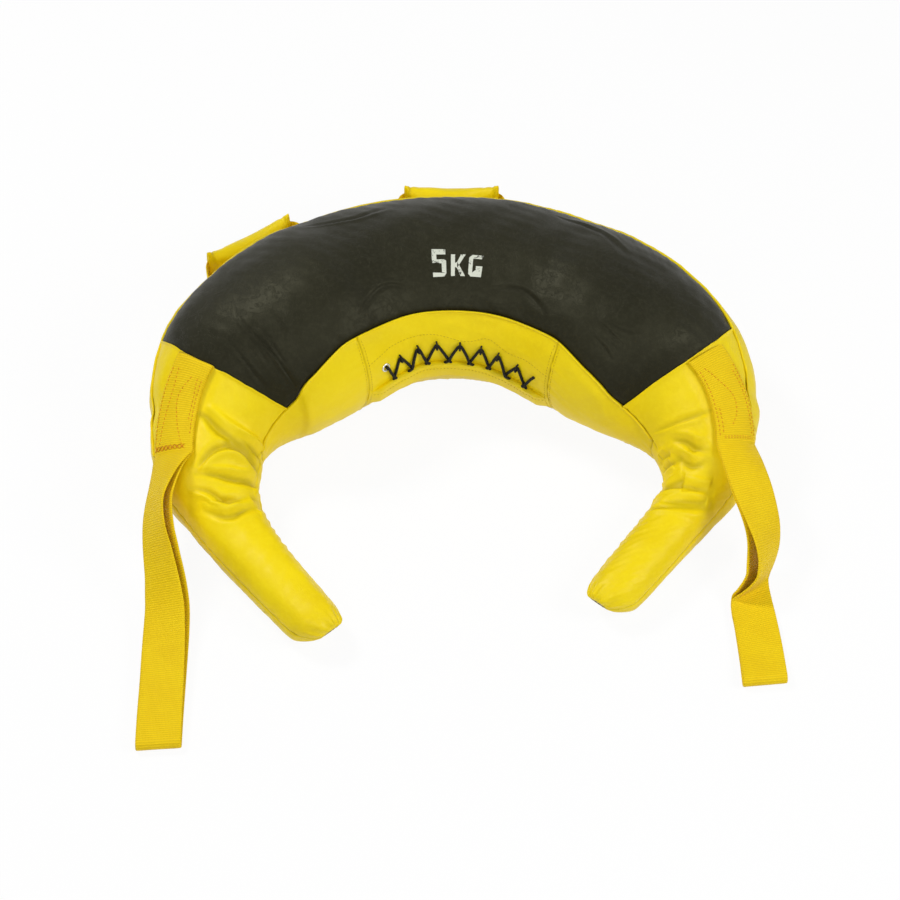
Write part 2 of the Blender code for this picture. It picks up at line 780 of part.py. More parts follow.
def build_eyelet():
    place, angle = lace_place(0), upper_angle(0)
    centre = body_point(place, angle)
    outwards = body_frame(place, angle)[2]
    low = -SKIN - CLEARANCE
    profile = [(EYELET_BORE / 2, low), (EYELET_BARREL / 2, low), (EYELET_BARREL / 2, CLEARANCE),
               (EYELET_FLANGE / 2, CLEARANCE), (EYELET_FLANGE / 2, CLEARANCE + EYELET_RIM / 2),
               (EYELET_BARREL / 2, CLEARANCE + EYELET_RIM), (EYELET_BORE / 2, EYELET_RIM)]
    turn = outwards.to_track_quat("Z", "Y").to_matrix()
    points = []
    for c in range(EYELET_SIDES):
        spin = 2 * math.pi * c / EYELET_SIDES
        for radius, height in profile:
            spot = Vector((radius * math.cos(spin), radius * math.sin(spin), height))
            points.append(centre + turn @ spot)
    count = len(profile)
    faces = []
    for c in range(EYELET_SIDES):
        for r in range(count):
            s = (r + 1) % count
            d = (c + 1) % EYELET_SIDES
            faces.append((c * count + r, c * count + s, d * count + s, d * count + r))
    solid("lace_eyelet", points, faces, EYELET_METAL)


def build_horns():
    for name, side in SIDES:
        tip = side.sign * side.length
        top = side_run(side, top_end(side, 0), side.length)
        ends = [lambda v: side.sign * top_end(side, 1 - v), lambda v: tip][::side.sign]
        panel(name + "_horn_top_panel", top, *ends, outer_seam, inner_seam, YELLOW_LEATHER,
              HORN_ANGLE_STEP)
        low = side_run(side, abs(neck(side)), side.length)
        panel(name + "_horn_bottom_panel", low, straight(low[0]), straight(low[-1]),
              lambda p: inner_seam(p) - 360, outer_seam, YELLOW_LEATHER, HORN_ANGLE_STEP)
        build_end_cap(name, side)


def ring_at(place, inset):
    step = 360 / CAP_SIDES
    return [body_point(place, step * i, -inset) for i in range(CAP_SIDES)]


def build_end_cap(name, side):
    outer = side.length - END_CAP_INSET
    inset = SKIN + 2 * CLEARANCE
    rings = [ring_at(side.sign * (outer - END_CAP * share), inset)
             for share in CAP_RING_SHARES]
    loft(name + "_end_cap", rings, CAP_LEATHER)


def fill_inset(place, angle):
    """Room left inside the skin, deeper behind the lace."""
    plain = SKIN + FILL_GAP
    deep = SKIN + LACE_BACK_ROOM + LACE_DIAMETER + CLEARANCE
    from_lace = abs(angle - LACE_RECESS_ANGLE) - LACE_RECESS_SPREAD
    near_lace = 1 - ease(from_lace / LACE_RECESS_FADE)
    from_end = min(place + LACED_LEFT, LACED_RIGHT - place)
    return plain + (deep - plain) * near_lace * ease(1 + from_end / LACE_RECESS_BLEND)


def fill_ring(place):
    points = []
    for i in range(FILL_SIDES):
        angle = 360 * i / FILL_SIDES
        point = body_point(place, angle, -fill_inset(place, angle))
        point.z = max(point.z, SKIN + FILL_FLOOR_GAP)
        points.append(point)
    return points


def bore_ring(place, diameter):
    side = side_at(place)
    x, y, turn = side.at(abs(place))
    centre = Vector((x, y, section(place)[2]))
    across = Vector((side.sign * math.sin(turn), math.cos(turn), 0))
    points = []
    for i in range(FILL_SIDES):
        spin = 2 * math.pi * i / FILL_SIDES
        arm = across * math.cos(spin) + Vector((0, 0, math.sin(spin)))
        points.append(centre + arm * (diameter / 2))
    return points


def build_filling():
    joint = FILL_JOINT / 2
    end = ARM_FILL_START - joint
    middle = stations(-end, end)
    loft("centre_filling", [fill_ring(p) for p in middle], WADDING,
         bore=[bore_ring(p, WEIGHT_BAG_DIAMETER + 2 * FILL_GAP) for p in middle])
    shares = [WEIGHT_BAG_END_SHARE if abs(p) == end else 1 for p in middle]
    loft("weight_bag", [bore_ring(p, WEIGHT_BAG_DIAMETER * k) for p, k in zip(middle, shares)],
         SAND_CLOTH)
    for name, side in SIDES:
        arm = side_run(side, ARM_FILL_START + joint, HORN_FILL_START - joint)
        loft(name + "_filling", [fill_ring(p) for p in arm], WADDING)
        tip = side.length - END_CAP_INSET - END_CAP - FILL_GAP
        horn = side_run(side, HORN_FILL_START + joint, tip)
        loft(name + "_horn_core", [fill_ring(p) for p in horn], FOAM)


def strap_spot(side, share, across, out):
    """A spot on the sewn end of a sling strap, at a share of its length and across it."""
    start, end = side.sewn
    place = side.sign * side.length * mix(start[0], end[0], share)
    angle = mix(start[1], end[1], share)
    lean = STRAP_LEAN_SHARE * across
    level = math.sqrt(1 - STRAP_LEAN_SHARE ** 2) * across
    half, tall, centre = section(place)
    return body_point(place + side.sign * lean, angle + math.degrees(level / ((half + tall) / 2)),
                      out)


def build_strap_tail(name, side):
    """The sewn end of a sling strap, cut slantwise along the black panel's seam."""
    def place(u, v, out):
        start = mix(*STRAP_START_SHARES, v)
        return strap_spot(side, mix(start, 1, u), STRAP_WIDTH * (v - 0.5), out)

    sheet(name + "_strap_tail", place, STRAP_TAIL_ROWS, STRAP_TAIL_COLUMNS,
          STRAP_SEAT + STRAP_THICKNESS, STRAP_SEAT, YELLOW_WEBBING)


def strap_root(side):
    """The stitched end: its middle and the ways across it, out of the skin and onwards."""
    middle = strap_spot(side, 1, 0, 0)
    across = strap_spot(side, 1, STRAP_WIDTH / 2, 0) - strap_spot(side, 1, -STRAP_WIDTH / 2, 0)
    across.normalize()
    back = middle - strap_spot(side, STRAP_END_SHARE, 0, 0)
    outwards = across.cross(back.normalized()) * -side.sign
    outwards.normalize()
    if outwards.z < 0:
        outwards.negate()
    return middle, across, outwards, back.normalized()


def strap_sections(side):
    """Centres, across and upward directions of the strap's top layer, root to fold."""
    middle, across, outwards, onwards = strap_root(side)
    top = STRAP_SEAT + STRAP_THICKNESS + STRAP_STACK_GAP + STRAP_THICKNESS / 2
    start = middle + outwards * top + onwards * STRAP_BREAK
    floor_height = STRAP_FOLD_HEIGHT - STRAP_THICKNESS / 2
    count = STRAP_SECTIONS
    rows = []
    keys = np.linspace(0, 1, len(side.route))
    for f in np.linspace(0, 1, count):
        values = [smooth(tuple(zip(keys, [row[k] for row in side.route])), f, False)
                  for k in range(4)]
        x = start.x + values[0] * side.reach
        y = start.y + values[1] * side.reach
        z = mix(floor_height, start.z, values[2])
        rows.append((Vector((x, y, z)), values[3]))
    sections = []
    for i, (centre, roll) in enumerate(rows):
        ahead = rows[min(i + 1, count - 1)][0] - rows[max(i - 1, 0)][0]
        ahead = ahead.normalized() if i else onwards
        level = ahead.cross(Vector((0, 0, 1))).normalized() * side.sign
        rolled = Matrix.Rotation(math.radians(roll) * side.sign, 3, ahead) @ level
        outer = across * -1 if across.dot(level) < 0 else across
        rolled = mix(outer, rolled, ease(i / STRAP_ROOT_SECTIONS)).normalized()
        upward = rolled.cross(ahead) if rolled.cross(ahead).z > 0 else ahead.cross(rolled)
        upward.normalize()
        apart = mix(STRAP_THICKNESS + STRAP_STACK_GAP, STRAP_FOLD_HEIGHT - STRAP_THICKNESS,
                    ease(i / STRAP_OPEN_SECTIONS))
        lowest = centre.z - upward.z * (apart + STRAP_THICKNESS / 2)
        lowest -= abs(rolled.z) * STRAP_WIDTH / 2
        sections.append((centre - Vector((0, 0, min(lowest, 0))), rolled, upward, apart))
    return sections


def build_strap_loop(name, side):
    """The free webbing loop: out along the top layer, round the fold and back underneath."""
    sections = strap_sections(side)
    fold = (STRAP_FOLD_HEIGHT - STRAP_THICKNESS) / 2
    layers = [section[:3] for section in sections]
    centre, across, up = layers[-1]
    ahead = (sections[-1][0] - sections[-2][0]).normalized()
    middle = centre - up * fold
    for turn in FOLD_TURNS:
        spin = math.radians(turn)
        arm = up * math.cos(spin) + ahead * math.sin(spin)
        layers.append((middle + arm * fold, across, arm))
    for centre, across, up, apart in reversed(sections):
        layers.append((centre - up * apart, across, -up))
    half = STRAP_WIDTH / 2
    rings = []
    for centre, across, up in layers:
        side_step = across * half
        lift = up * (STRAP_THICKNESS / 2)
        rings.append([centre + side_step + lift, centre - side_step + lift,
                      centre - side_step - lift, centre + side_step - lift])
    points = [point for ring in rings for point in ring]
    faces = ribbon_faces(len(rings), len(sections) + 1)
    faces += [tuple(range(4)), tuple(range(len(points) - 4, len(points)))]
    solid(name + "_strap_loop", points, faces, YELLOW_WEBBING, strap_hinge(side)[0])


def strap_hinge(side):
    """The stitch line that a strap turns about, with the direction that lifts the loop."""
    middle, across, outwards = strap_root(side)[:3]
    across *= -1 if across.x > 0 else 1
    stack = STRAP_SEAT + STRAP_THICKNESS + STRAP_STACK_GAP / 2
    return middle + outwards * stack, across


def grip_feet(sign, angle):
    """Where a grip's band starts to leave the skin, at both ends."""
    reach = PAD_LENGTH / 2 + BAND_DROP + BAND_BREAK
    return [wall_spot(sign * GRIP_PLACE, angle, turn * reach, 0) for turn in (-1, 1)]


def grip_frame(sign, angle):
    """A hand grip's own axes: origin on the skin, x along its feet, y outwards, z up."""
    feet = grip_feet(sign, angle)
    along = (feet[1] - feet[0]).normalized()
    outwards = body_frame(sign * GRIP_PLACE, angle)[2]
    outwards = (outwards - along * along.dot(outwards)).normalized()
    frame = Matrix((along, outwards, along.cross(outwards))).transposed().to_4x4()
    frame.translation = body_point(sign * GRIP_PLACE, angle)
    return frame


def pad_profile(share, inset):
    """Half height and half thickness of a pad at a share of its length, -1 to 1."""
    bulge = 1 - abs(share) ** PAD_BULGE_POWER
    tall = mix(PAD_END_HEIGHT, PAD_MIDDLE_HEIGHT, bulge ** PAD_WAIST_POWER) / 2
    thick = mix(PAD_END_THICKNESS, PAD_MIDDLE_THICKNESS, bulge ** PAD_FULLNESS_POWER) / 2
    return tall - inset, thick - inset


def pad_ring(frame, along, tall, thick):
    points = []
    for i in range(PAD_SIDES):
        spin = 2 * math.pi * i / PAD_SIDES
        wave = math.sin(spin)
        flat = math.copysign(abs(wave) ** PAD_FLATNESS_POWER, wave)
        spot = Vector((along, PAD_STAND_OFF + thick * math.cos(spin), tall * flat))
        points.append(frame @ spot)
    return points


def band_line():
    """The band's line seen from above: through the pad, then in towards the skin at each end."""
    level = PAD_LENGTH / 2 - PAD_FOAM_INSET
    end = PAD_LENGTH / 2 + BAND_DROP
    half = [(mix(level, end, share), PAD_STAND_OFF - BAND_DROP * drop)
            for share, drop in BAND_BEND_SHARES]
    return [(-x, y) for x, y in reversed(half)] + half


def band_rings(line, frame, square_rings):
    """Four-cornered rings of a band that stands upright along a line of x and y values.

    The square rings lie across the hinge line, so that the free part swings past the sewn one.
    """
    rings = []
    for i, (x, y) in enumerate(line):
        before = line[max(i - 1, 0)]
        after = line[min(i + 1, len(line) - 1)]
        ahead = Vector((after[0] - before[0], after[1] - before[1], 0)).normalized()
        if i in square_rings:
            ahead = Vector((math.copysign(1, ahead.x), 0, 0))
        side_step = Vector((-ahead.y, ahead.x, 0)) * (BAND_THICKNESS / 2)
        tall = Vector((0, 0, BAND_WIDTH / 2))
        middle = Vector((x, y, 0))
        rings.append([frame @ (middle + side_step + tall), frame @ (middle + side_step - tall),
                      frame @ (middle - side_step - tall), frame @ (middle - side_step + tall)])
    return rings


def anchor_line(sign, place, angle, frame):
    """The sewn end of the band: flat on the skin, then rising to meet the free part."""
    to_local = frame.inverted()
    last_x, last_y = band_line()[-1]
    gap_x = last_x + BAND_BREAK
    foot = gap_x + BAND_DROP
    height = CLEARANCE + BAND_THICKNESS / 2
    line = []
    for share in ANCHOR_SEWN_SHARES:
        x = foot + BAND_SEWN_LENGTH * share
        spot = to_local @ wall_spot(place, angle, sign * x, height)
        line.append((spot.x, spot.y))
    skin_y = line[-1][1]
    line += [(sign * mix(foot, gap_x, share), mix(skin_y, last_y, rise))
             for share, rise in ANCHOR_RISE_SHARES]
    return line


def build_grip(name, sign, angle):
    frame = grip_frame(sign, angle)
    place = sign * GRIP_PLACE
    hinge = grip_hinge(sign, angle)[0]
    shares = [-share for share in PAD_RING_SHARES] + list(PAD_RING_SHARES[::-1])
    half = PAD_LENGTH / 2
    outer = [pad_ring(frame, half * s, *pad_profile(s, 0)) for s in shares]
    inner = [pad_ring(frame, half * s, *pad_profile(s, PAD_SKIN)) for s in shares]
    loft(name + "_grip_sleeve", outer, YELLOW_LEATHER, bore=inner, origin=hinge)
    inset = PAD_SKIN + CLEARANCE
    foam = [pad_ring(frame, half * s, *pad_profile(s, inset)) for s in shares[1:-1]]
    slot = [slot_ring(frame, half * s) for s in shares[1:-1]]
    loft(name + "_grip_foam", foam, FOAM, bore=slot, origin=hinge)
    line = band_line()
    loft(name + "_grip_band", band_rings(line, frame, (0, len(line) - 1)), YELLOW_WEBBING,
         origin=hinge)
    for end, turn in (("a", -1), ("b", 1)):
        line = anchor_line(turn, place, angle, frame)
        loft(name + "_anchor_" + end, band_rings(line, frame, (len(line) - 1,)),
             YELLOW_WEBBING)


def slot_ring(frame, along):
    """The slot in the foam that the band lies in, with the pad ring's number of points."""
    tall = BAND_WIDTH / 2 + CLEARANCE
    thick = BAND_THICKNESS / 2 + CLEARANCE
    points = []
    for i in range(PAD_SIDES):
        spin = 2 * math.pi * i / PAD_SIDES
        y, z = [min(max(value * SLOT_CORNER_SHARE, -1), 1)
                for value in (math.cos(spin), math.sin(spin))]
        spot = Vector((along, PAD_STAND_OFF + thick * y, tall * z))
        points.append(frame @ spot)
    return points


def grip_hinge(sign, angle):
    """The line that a grip swings about, through its feet: its middle and direction."""
    feet = grip_feet(sign, angle)
    return (feet[0] + feet[1]) / 2, (feet[1] - feet[0]).normalized()


def build_straps():
    for name, side in SIDES:
        build_strap_tail(name, side)
        build_strap_loop(name, side)


def build_grips():
    for name, sign, angle in GRIPS:
        build_grip(name, sign, angle)


def main():
    clear_scene()
    build_skins()
    build_laced_panel()
    build_horns()
    build_filling()
    build_lace()
    build_straps()
    build_grips()


main()
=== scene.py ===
"""Looks of the Bulgarian training bag: leather skins, webbing slings, lacing and hand grips.

Every length is in metres. The tube's shape functions repeat those of the part's source. A
place is a distance along the tube from the middle of the arc, to the right above zero, and an
angle turns round the tube in degrees, from its outer side over the top to its inner side.
"""

import math

import bmesh
import bpy
import numpy as np
from mathutils import Matrix, Vector
from mathutils.bvhtree import BVHTree


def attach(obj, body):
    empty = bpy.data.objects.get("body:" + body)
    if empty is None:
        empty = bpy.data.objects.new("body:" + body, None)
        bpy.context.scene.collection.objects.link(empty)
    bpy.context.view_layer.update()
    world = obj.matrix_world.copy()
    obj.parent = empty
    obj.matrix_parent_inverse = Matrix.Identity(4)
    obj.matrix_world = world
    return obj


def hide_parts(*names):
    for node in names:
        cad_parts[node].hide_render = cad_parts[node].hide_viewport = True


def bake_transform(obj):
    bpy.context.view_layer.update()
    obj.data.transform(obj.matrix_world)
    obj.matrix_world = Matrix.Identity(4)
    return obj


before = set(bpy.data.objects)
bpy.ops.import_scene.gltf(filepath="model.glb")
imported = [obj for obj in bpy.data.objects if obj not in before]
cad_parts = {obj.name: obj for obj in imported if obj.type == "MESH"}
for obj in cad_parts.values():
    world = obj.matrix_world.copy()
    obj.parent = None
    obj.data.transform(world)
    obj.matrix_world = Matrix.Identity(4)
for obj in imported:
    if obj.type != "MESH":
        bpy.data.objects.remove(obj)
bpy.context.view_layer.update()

# The camera of the photograph.
CAMERA_ELEVATION = 52
CAMERA_DISTANCE = 2.6
CAMERA_LENS = 112.84
CAMERA_TARGET = (-0.00144, -0.18417, 0.06237)

# The tube, as in the part's source.
BODY_WIDTH = 0.179
BODY_HEIGHT = 0.161
RIGHT_LENGTH = 0.503
LEFT_LENGTH = 0.531
RIGHT_GRIP_WIDTH = 0.0504
LEFT_GRIP_WIDTH = 0.0544
TIP_ROUNDING = 0.024
TIP_DRAW_SHARE = 0.44
TIP_SHIFT_SHARE = 0.5
TIP_LEAN_SHARE = 0.5
FLOOR_SHARE = 0.95
HEIGHT_RATIO = BODY_HEIGHT / (1 + FLOOR_SHARE) / (BODY_WIDTH / 2)
PATH_STEPS = 400

LEFT_PANEL_END = ((0, 0.248), (0.2, 0.2565), (0.31, 0.2615), (0.4, 0.265), (0.48, 0.267),
                  (0.57, 0.269), (0.64, 0.27), (0.72, 0.27), (0.81, 0.268), (0.9, 0.264), (1, 0.256))
RIGHT_PANEL_END = ((0, 0.249), (0.16, 0.255), (0.28, 0.2585), (0.37, 0.261), (0.46, 0.263),
                   (0.54, 0.264), (0.63, 0.264), (0.71, 0.263), (0.8, 0.261), (0.9, 0.2565),
                   (1, 0.249))
LACED_LEFT = 0.142
LACED_RIGHT = 0.152
LOWER_SEAM_ANGLE = 38
NECK_SHARE = 0.6

SKIN = 0.0018
CLEARANCE = 0.0004
LACE_DIAMETER = 0.0024
LACE_BACK_ROOM = 0.0012
LACE_TAIL = 0.0048
KEEPER_CORD = 0.0018
KEEPER_HALF_HEIGHT = 0.0042
STITCH = 0.0066
EYELET_BORE = 0.0050
EYELET_BARREL = 0.0062
EYELET_FLANGE = 0.0092
EYELET_RIM = 0.0009

STRAP_WIDTH = 0.040
STRAP_THICKNESS = 0.0020
STRAP_TOP_SHARE = 0.88
STRAP_FOLD_HEIGHT = 0.0115
STRAP_STACK_GAP = 0.0005
STRAP_SEAT = 0.0008
STRAP_END_SHARE = 0.8
STRAP_CURL = 0.0009
UNDER_PANEL = 0.0034
SEAM_ALLOWANCE = 0.0012
SEAM_RISE = 0.0036
BAR_SHARE = 0.955
ZIGZAG = 0.032
BAR_THREAD = 0.0004
THREAD_POINTS = 6
# Kinds of stitches: length of a thread, gap to the next one and its radius.
STRAP_STITCH = (0.0026, 0.0014, 0.00034)
TACK_STITCH = (0.0022, 0.0009, 0.0003)
BAND_STITCH = (0.0024, 0.0012, 0.0003)
SEAM_STITCH = (0.0022, 0.0011, 0.00026)

PAD_LENGTH = 0.091
PAD_END_HEIGHT = 0.046
PAD_MIDDLE_HEIGHT = 0.029
PAD_MIDDLE_THICKNESS = 0.019
PAD_STAND_OFF = 0.021
PAD_FOAM_INSET = 0.003
PAD_SEAM_THICKNESS = 0.0034
PAD_HELD = 0.0046
PAD_PIPE_PLACE = 0.0034
PAD_GROOVE_PLACE = 0.0056
SWELL_SCALE = 10
SWELL_PRESSURE = 8
SWELL_SLACK = 0.03
SWELL_FRAMES = 20
SWELL_CAP = 0.0016
BAND_WIDTH = 0.025
BAND_THICKNESS = 0.0015
BAND_DROP = 0.0075
BAND_BREAK = 0.0005
BAND_SEWN_LENGTH = 0.022
BAND_FOOT = PAD_LENGTH / 2 + 2 * BAND_DROP
ON_SKIN = CLEARANCE + BAND_THICKNESS / 2
BOX_STITCH = ((2, 0.8), (13, 0.8), (13, 9.2), (2, 9.2), (2, 0.8), (13, 9.2), (2, 9.2), (13, 0.8))
GRIP_PLACE = 0.140
END_CAP_INSET = 0.0012

RIGHT_TURNS = ((0, 0), (0.058, 7), (0.196, 27), (0.279, 34), (0.396, 36), (0.479, 50),
               (0.559, 71), (0.635, 94), (0.687, 114), (0.736, 124), (0.843, 127), (1, 129))
LEFT_TURNS = ((0, 0), (0.058, 8), (0.188, 30), (0.265, 35), (0.376, 37), (0.453, 56),
              (0.529, 76), (0.609, 97), (0.672, 114), (0.725, 121), (0.811, 128), (1, 131))
RIGHT_WIDTHS = ((0, 1), (0.196, 1), (0.279, 1.03), (0.357, 1.01), (0.421, 0.94),
                (0.479, 0.82), (0.538, 0.61), (0.603, 0.38), (0.667, 0.21), (0.726, 0.06),
                (0.804, 0.015), (0.892, 0), (1, -0.04))
LEFT_WIDTHS = ((0, 1), (0.193, 1.04), (0.265, 1.09), (0.338, 1.05), (0.396, 0.97),
               (0.453, 0.84), (0.512, 0.62), (0.574, 0.42), (0.643, 0.31), (0.695, 0.15),
               (0.773, 0.04), (0.85, 0), (1, -0.06))
INNER_SEAM = ((0, 143), (0.28, 143), (0.375, 152), (0.45, 160), (0.51, 162), (0.6, 167),
              (0.72, 172), (1, 172))
RIGHT_OUTER_SEAM = ((0, 37), (0.293, 38), (0.499, 39), (0.603, 30), (0.726, 12), (1, 8))
LEFT_OUTER_SEAM = ((0, 37), (0.27, 34), (0.463, 23), (0.58, 18), (0.695, 10), (1, 8))
LACE_PLACES = (0.08, 0.155, 0.28, 0.405, 0.525, 0.64, 0.75, 0.86, 0.945)
SLIT = ((0, 184), (0.12, 181), (0.38, 177.5), (0.58, 179), (0.75, 182), (0.88, 186), (1, 189))
UPPER_HOLE_RISE = 11
LOWER_HOLE_DROP = 7.5
COVER_DROP = 2.8
TONGUE_SHARE = 1.8
COVER_FALL_SHARE = 0.25
CROSSING_SHARE = 0.58
CROSSING_SPREAD_SHARE = 0.21
STRAP_LEAN_SHARE = 0.3
RIGHT_SEWN = ((0.544, 76), (0.64, 52))
LEFT_SEWN = ((0.518, 72), (0.622, 52))
# Both edges of a sling strap's loose top layer from its root to its fold, and the gap to the
# layer below it, in millimetres.
LEFT_LOOP = (
    (-265, -201, 67, -234, -215, 87, 2.5), (-268, -213, 63, -244, -228, 91, 3.5),
    (-273, -225, 60, -253, -241, 90, 6), (-277, -237, 56, -259, -253, 88, 8),
    (-279, -246, 52, -260, -262, 84, 9), (-280, -258, 48, -259, -273, 78, 9.5),
    (-280, -269, 42, -257, -283, 71, 9.5), (-280, -280, 36, -253, -291, 64, 9.5),
    (-279, -291, 32, -250, -301, 57, 9.5), (-278, -302, 26, -247, -310, 50, 10.5),
    (-278, -316, 21, -243, -322, 40, 11), (-277, -331, 15, -239, -335, 31, 11),
    (-277, -359, 10, -238.5, -359, 20, 10.5), (-277.5, -402, 9, -237, -400.5, 14, 9.5),
    (-278, -437, 10, -236.8, -435, 11.5, 9.5), (-277, -467, 10.5, -236.6, -464, 10.5, 9.5))
RIGHT_LOOP = (
    (242, -186, 75, 281, -181, 68, 2.5), (246, -206, 74, 286, -199, 71, 2.5),
    (251, -226, 75, 289, -215, 70, 2.8), (257, -246, 72, 293, -230, 65, 3.2),
    (263, -260, 68, 296, -241, 56, 3.6), (269, -275, 63, 299, -253, 47, 6),
    (274, -285, 58, 299, -261, 39, 9), (277, -295, 50.5, 299, -268, 30.5, 12),
    (278, -302, 43, 297, -274, 22, 13), (277, -310, 33.5, 294, -280, 12.5, 12),
    (271, -312, 25, 291, -284, 5, 9), (262, -315, 16, 290, -289, 4, 5),
    (253, -313.5, 8, 290.4, -295, 5, 3), (253.4, -324.3, 6, 291.6, -310.3, 5, 3),
    (256, -341, 5.5, 293.6, -327, 5.5, 3.5), (257.5, -372, 6.5, 298.3, -366, 6.5, 5.5),
    (258.7, -400, 10.5, 299.2, -396, 10.5, 9.5))
BAND_BENDS = ((0, 0), (0.4, 0.12), (0.75, 0.6), (1, 1.45))
ANCHOR_SEWN = (1, 0.66, 0.33, 0)
ANCHOR_RISES = ((0.5, 0.35), (1, 1))
GRIPS = (("left", -1, -2), ("centre", 0, 1.5), ("right", 1, -20))


# The tube's shape.

def smooth(table, place, start_level=True):
    """The value at a place on a curve that passes through a table's rows without overshoot."""
    places, values = np.array(table).T
    steps = np.diff(places)
    slopes = np.diff(values) / steps
    ends = [0.0 if start_level else slopes[0]]
    for before, after in zip(slopes, slopes[1:]):
        ends.append(2 * before * after / (before + after) if before * after > 0 else 0.0)
    ends.append(slopes[-1])
    i = min(max(int(np.searchsorted(places, place)) - 1, 0), len(steps) - 1)
    share = min(max((place - places[i]) / steps[i], 0), 1)
    return bend(values[i], values[i + 1], ends[i] * steps[i], ends[i + 1] * steps[i], share)


def ease(value):
    value = np.clip(value, 0, 1)
    return value * value * (3 - 2 * value)


def mix(start, end, share):
    return start + (end - start) * share


def bend(start, end, leaving, arriving, f):
    """A value at share f of a smooth step between two values, with the slope at each."""
    return (start * (2 * f ** 3 - 3 * f ** 2 + 1) + leaving * (f ** 3 - 2 * f ** 2 + f)
            + end * (3 * f ** 2 - 2 * f ** 3) + arriving * (f ** 3 - f ** 2))


def ridge_at(distance, middle, width=0.0012):
    """One at the middle of a soft ridge, and falling to zero over its width on both sides."""
    return np.exp(-((distance - middle) / width) ** 2)


def unit(vectors):
    return vectors / np.linalg.norm(vectors, axis=-1)[..., None]


def lengths_along(points, axis=0):
    """The length of the way to each point of a line, or of every line of a grid."""
    steps = np.linalg.norm(np.diff(points, axis=axis), axis=-1)
    shape = list(steps.shape)
    shape[axis] = 1
    return np.concatenate((np.zeros(shape), np.cumsum(steps, axis=axis)), axis=axis)


def sampled(where, run, rows):
    """Rows of numbers at places along a run, between the rows that are known on it."""
    return np.stack([np.interp(where, run, column) for column in np.asarray(rows).T], -1)


class Side:
    """One half of the tube, from the middle of the arc to a horn's tip, with its tables."""

    def __init__(self, sign, length, grip_width, turns, widths, outer_seam, sewn, loop):
        self.sign = sign
        self.length = length
        self.sewn = sewn
        self.loop = loop
        self.places = np.linspace(0, length, PATH_STEPS)
        shares = self.places / length
        self.turn = np.array([math.radians(smooth(turns, s, False)) for s in shares])
        middle = (self.turn[1:] + self.turn[:-1]) / 2
        step = length / (PATH_STEPS - 1)
        self.x = sign * np.concatenate(([0], np.cumsum(np.cos(middle) * step)))
        self.y = -np.concatenate(([0], np.cumsum(np.sin(middle) * step)))
        grip = grip_width / 2
        widths = np.array([smooth(widths, s) for s in shares])
        self.half = grip + (BODY_WIDTH / 2 - grip) * widths
        self.outer = np.array([smooth(outer_seam, s) for s in shares])
        self.inner = np.array([smooth(INNER_SEAM, s) for s in shares])

    def value(self, name, place):
        return np.interp(np.abs(place), self.places, getattr(self, name))


RIGHT = Side(1, RIGHT_LENGTH, RIGHT_GRIP_WIDTH, RIGHT_TURNS, RIGHT_WIDTHS,
             RIGHT_OUTER_SEAM, RIGHT_SEWN, RIGHT_LOOP)
LEFT = Side(-1, LEFT_LENGTH, LEFT_GRIP_WIDTH, LEFT_TURNS, LEFT_WIDTHS,
            LEFT_OUTER_SEAM, LEFT_SEWN, LEFT_LOOP)
SIDES = (("left", LEFT), ("right", RIGHT))


def on_sides(name, place):
    """A side's table value at places on either side."""
    place = np.asarray(place, float)
    return np.where(place < 0, LEFT.value(name, place), RIGHT.value(name, place))


def into_tip(place):
    place = np.asarray(place, float)
    length = np.where(place < 0, LEFT_LENGTH, RIGHT_LENGTH)
    return np.maximum(1 - (length - np.abs(place)) / TIP_ROUNDING, 0)


def tube(place, angle, out=0.0):
    """Points on the tube's skin or that far outside it, for arrays of places and angles."""
    place, angle, out = np.broadcast_arrays(np.asarray(place, float), angle, out)
    sign = np.where(place < 0, -1.0, 1.0)
    turn = on_sides("turn", place)
    full = on_sides("half", place)
    tip = into_tip(place)
    drawn = TIP_DRAW_SHARE * tip ** 2
    half = full * (1 - drawn)
    spin = np.radians(angle)
    across = (half + out) * np.cos(spin) - full * drawn * TIP_SHIFT_SHARE
    rise = (half * HEIGHT_RATIO + out) * np.sin(spin)
    lean = TIP_LEAN_SHARE * rise * tip
    x = on_sides("x", place) + sign * (np.sin(turn) * across + np.cos(turn) * lean)
    y = on_sides("y", place) + np.cos(turn) * across - np.sin(turn) * lean
    z = np.maximum(-out, full * HEIGHT_RATIO * FLOOR_SHARE + rise)
    return np.stack((x, y, z), -1)


def body_point(place, angle, out=0.0):
    return Vector(tube(place, angle, out))


def half_width(place):
    tip = TIP_DRAW_SHARE * into_tip(place) ** 2
    return on_sides("half", place) * (1 - tip)


def body_frame(place, angle):
    """Directions at a point of the skin: along the tube, up the wall and outwards."""
    step = CLEARANCE
    along = body_point(place + step, angle) - body_point(place - step, angle)
    turned = math.degrees(step / half_width(place))
    round_tube = body_point(place, angle + turned) - body_point(place, angle - turned)
    up = round_tube if round_tube.z > 0 else -round_tube
    along.normalize()
    up.normalize()
    outwards = along.cross(up)
    if outwards.dot(body_point(place, angle) - body_point(place, angle, -SKIN)) < 0:
        outwards.negate()
    return along, up, outwards


def along_scale(place, angle):
    """How far the wall's point moves for each metre along the tube's centreline."""
    step = CLEARANCE
    return (body_point(place + step, angle) - body_point(place - step, angle)).length / (2 * step)


def degrees_for(distance, place):
    return np.degrees(distance / half_width(place))


def refine(values, steps):
    """A smooth run through rows of numbers, with more rows."""
    values = np.asarray(values, float)
    ahead = np.concatenate((values[1:], 2 * values[-1:] - values[-2:-1]))
    behind = np.concatenate((2 * values[:1] - values[1:2], values[:-1]))
    slopes = (ahead - behind) / 2
    rows = [bend(values[i], values[i + 1], slopes[i], slopes[i + 1], share)
            for i in range(len(values) - 1) for share in np.arange(steps) / steps]
    return np.array(rows + [values[-1]])


def inner_seam(place):
    return on_sides("inner", place)


